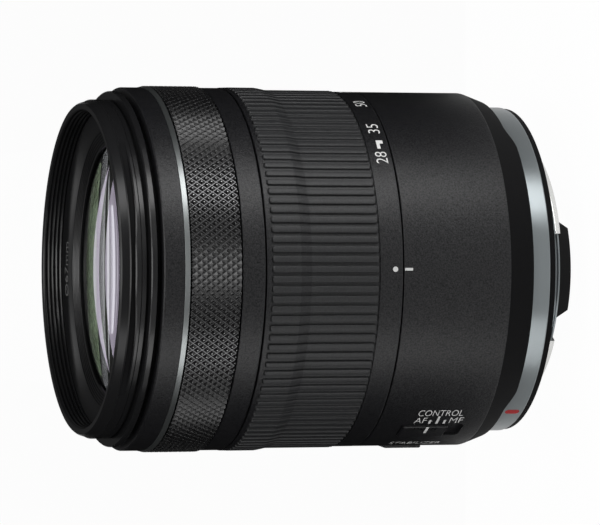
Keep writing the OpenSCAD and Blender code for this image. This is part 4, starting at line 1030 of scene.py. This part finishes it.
view = {"sensorMm": 36, "focalMm": 282.0, "target": 44.4, "distance": 991.1, "tilt": 16.47, "shiftUp": 1.37}


def lying(x0, x1, y0, y1, z):
    return [(x0, y0, z), (x1, y0, z), (x1, y1, z), (x0, y1, z)]


def addCards(name, cards, material):
    mesh = bpy.data.meshes.new(name)
    corners = [point for card in cards for point in card]
    mesh.from_pydata(corners, [], [tuple(range(k, k + 4)) for k in range(0, len(corners), 4)])
    mesh.materials.append(material)
    return addObject(name, mesh)


def makeFloor(d):
    # matt board that takes the shadow, white where the camera, metal or glass looks at it
    material, tree = startMaterial("paleStudioFloor")
    path = addNode(tree, "LightPath").outputs
    mirrored = addNode(tree, "Math", {"operation": "MULTIPLY", 1: d["mirrorShare"]},
                       {0: path["Is Glossy Ray"]})
    seen = addNode(tree, "Math", {"operation": "MAXIMUM"}, {0: path["Is Camera Ray"], 1: mirrored})
    seen = addNode(tree, "Math", {"operation": "MAXIMUM"}, {0: seen, 1: path["Is Transmission Ray"]})
    share = addNode(tree, "Math", {"operation": "MULTIPLY", 1: d["whiteShare"]}, {0: seen})
    matt = addNode(tree, "BsdfDiffuse", {"Color": linear(d["floorTone"])})
    white = addNode(tree, "Emission", {"Strength": 1.0})
    mixed = addNode(tree, "MixShader", {}, {0: share, 1: matt, 2: white})
    endMaterial(material, mixed)
    half = d["floorSize"] / 2
    floor = addCards("studioFloor", [lying(-half, half, -half, half, cadBox[0][2] - d["floorGap"])], material)


def makeWorld(d):
    world = bpy.data.worlds.new("studioWorld")
    world.use_nodes = True
    tree = world.node_tree
    tree.nodes.clear()
    fill = addNode(tree, "Background", {"Color": (1, 1, 1, 1), "Strength": d["worldFill"]})
    addNode(tree, "OutputWorld", {}, {"Surface": fill})
    bpy.context.scene.world = world


def addLamp(name, d):
    light = bpy.data.lights.new(name, "AREA")
    light.shape = "RECTANGLE"
    light.size, light.size_y = d["size"]
    light.energy = d["power"]
    light.color = linear(d.get("tint", "#ffffff"))[:3]
    lamp = addObject(name, light)
    lamp.location = d["at"]
    lamp.rotation_euler = (Vector(d["aim"]) - Vector(d["at"])).to_track_quat("-Z", "Y").to_euler()
    lamp.visible_camera = False
    if "only" in d:
        lamp.light_linking.receiver_collection = bpy.data.collections[d["only"]]
    if "passing" in d:
        lamp.light_linking.blocker_collection = glassOnly  # shines past the rings and the black cards


def makeFlags(d):
    # black cards, unseen by the camera, which keep the sides of the barrel dark
    material, tree = startMaterial("blackFlagCloth")
    endMaterial(material, addNode(tree, "BsdfDiffuse", {"Color": linear(d["tone"])}))
    foot = cadBox[0][2]
    cards = []
    for side in (-1, 1):  # one card stands, one lies beside it and one lies behind the lens
        x = side * d["side"]
        cards.append([(x, d["near"], foot), (x, d["far"], foot), (x, d["far"], d["top"]),
                      (x, d["near"], d["top"])])
        cards.append(lying(x, side * d["spread"], d["front"], d["back"], foot))
        cards.append(lying(side * d["inner"], x, d["behind"], d["back"], foot))
    cards.append(lying(-d["cardHalf"], d["cardHalf"], d["cardNear"], d["cardFar"], foot))
    flags = addCards("studioFlags", cards, material)
    flags.visible_camera = False


def addCamera(d):
    tilt = math.radians(d["tilt"])
    ahead = Vector((0, math.cos(tilt), -math.sin(tilt)))
    right = Vector((0, -math.sin(tilt), -math.cos(tilt)))
    up = Vector((1, 0, 0))
    data = bpy.data.cameras.new("photoCamera")
    data.sensor_width = d["sensorMm"]
    data.lens = d["focalMm"]
    camera = addObject("photoCamera", data)
    at = Vector((d["shiftUp"] * mm, 0, d["target"] * mm)) - ahead * d["distance"] * mm
    turn = Matrix((right, up, -ahead)).transposed().to_4x4()
    camera.matrix_world = Matrix.Translation(at) @ turn
    bpy.context.scene.camera = camera


makeFloor(studio)
makeWorld(studio)
for name, d in lamps.items():
    addLamp(name, d)
makeFlags(flag)
addCamera(view)
bpy.context.scene.view_settings.view_transform = "Standard"
print("studio ready")
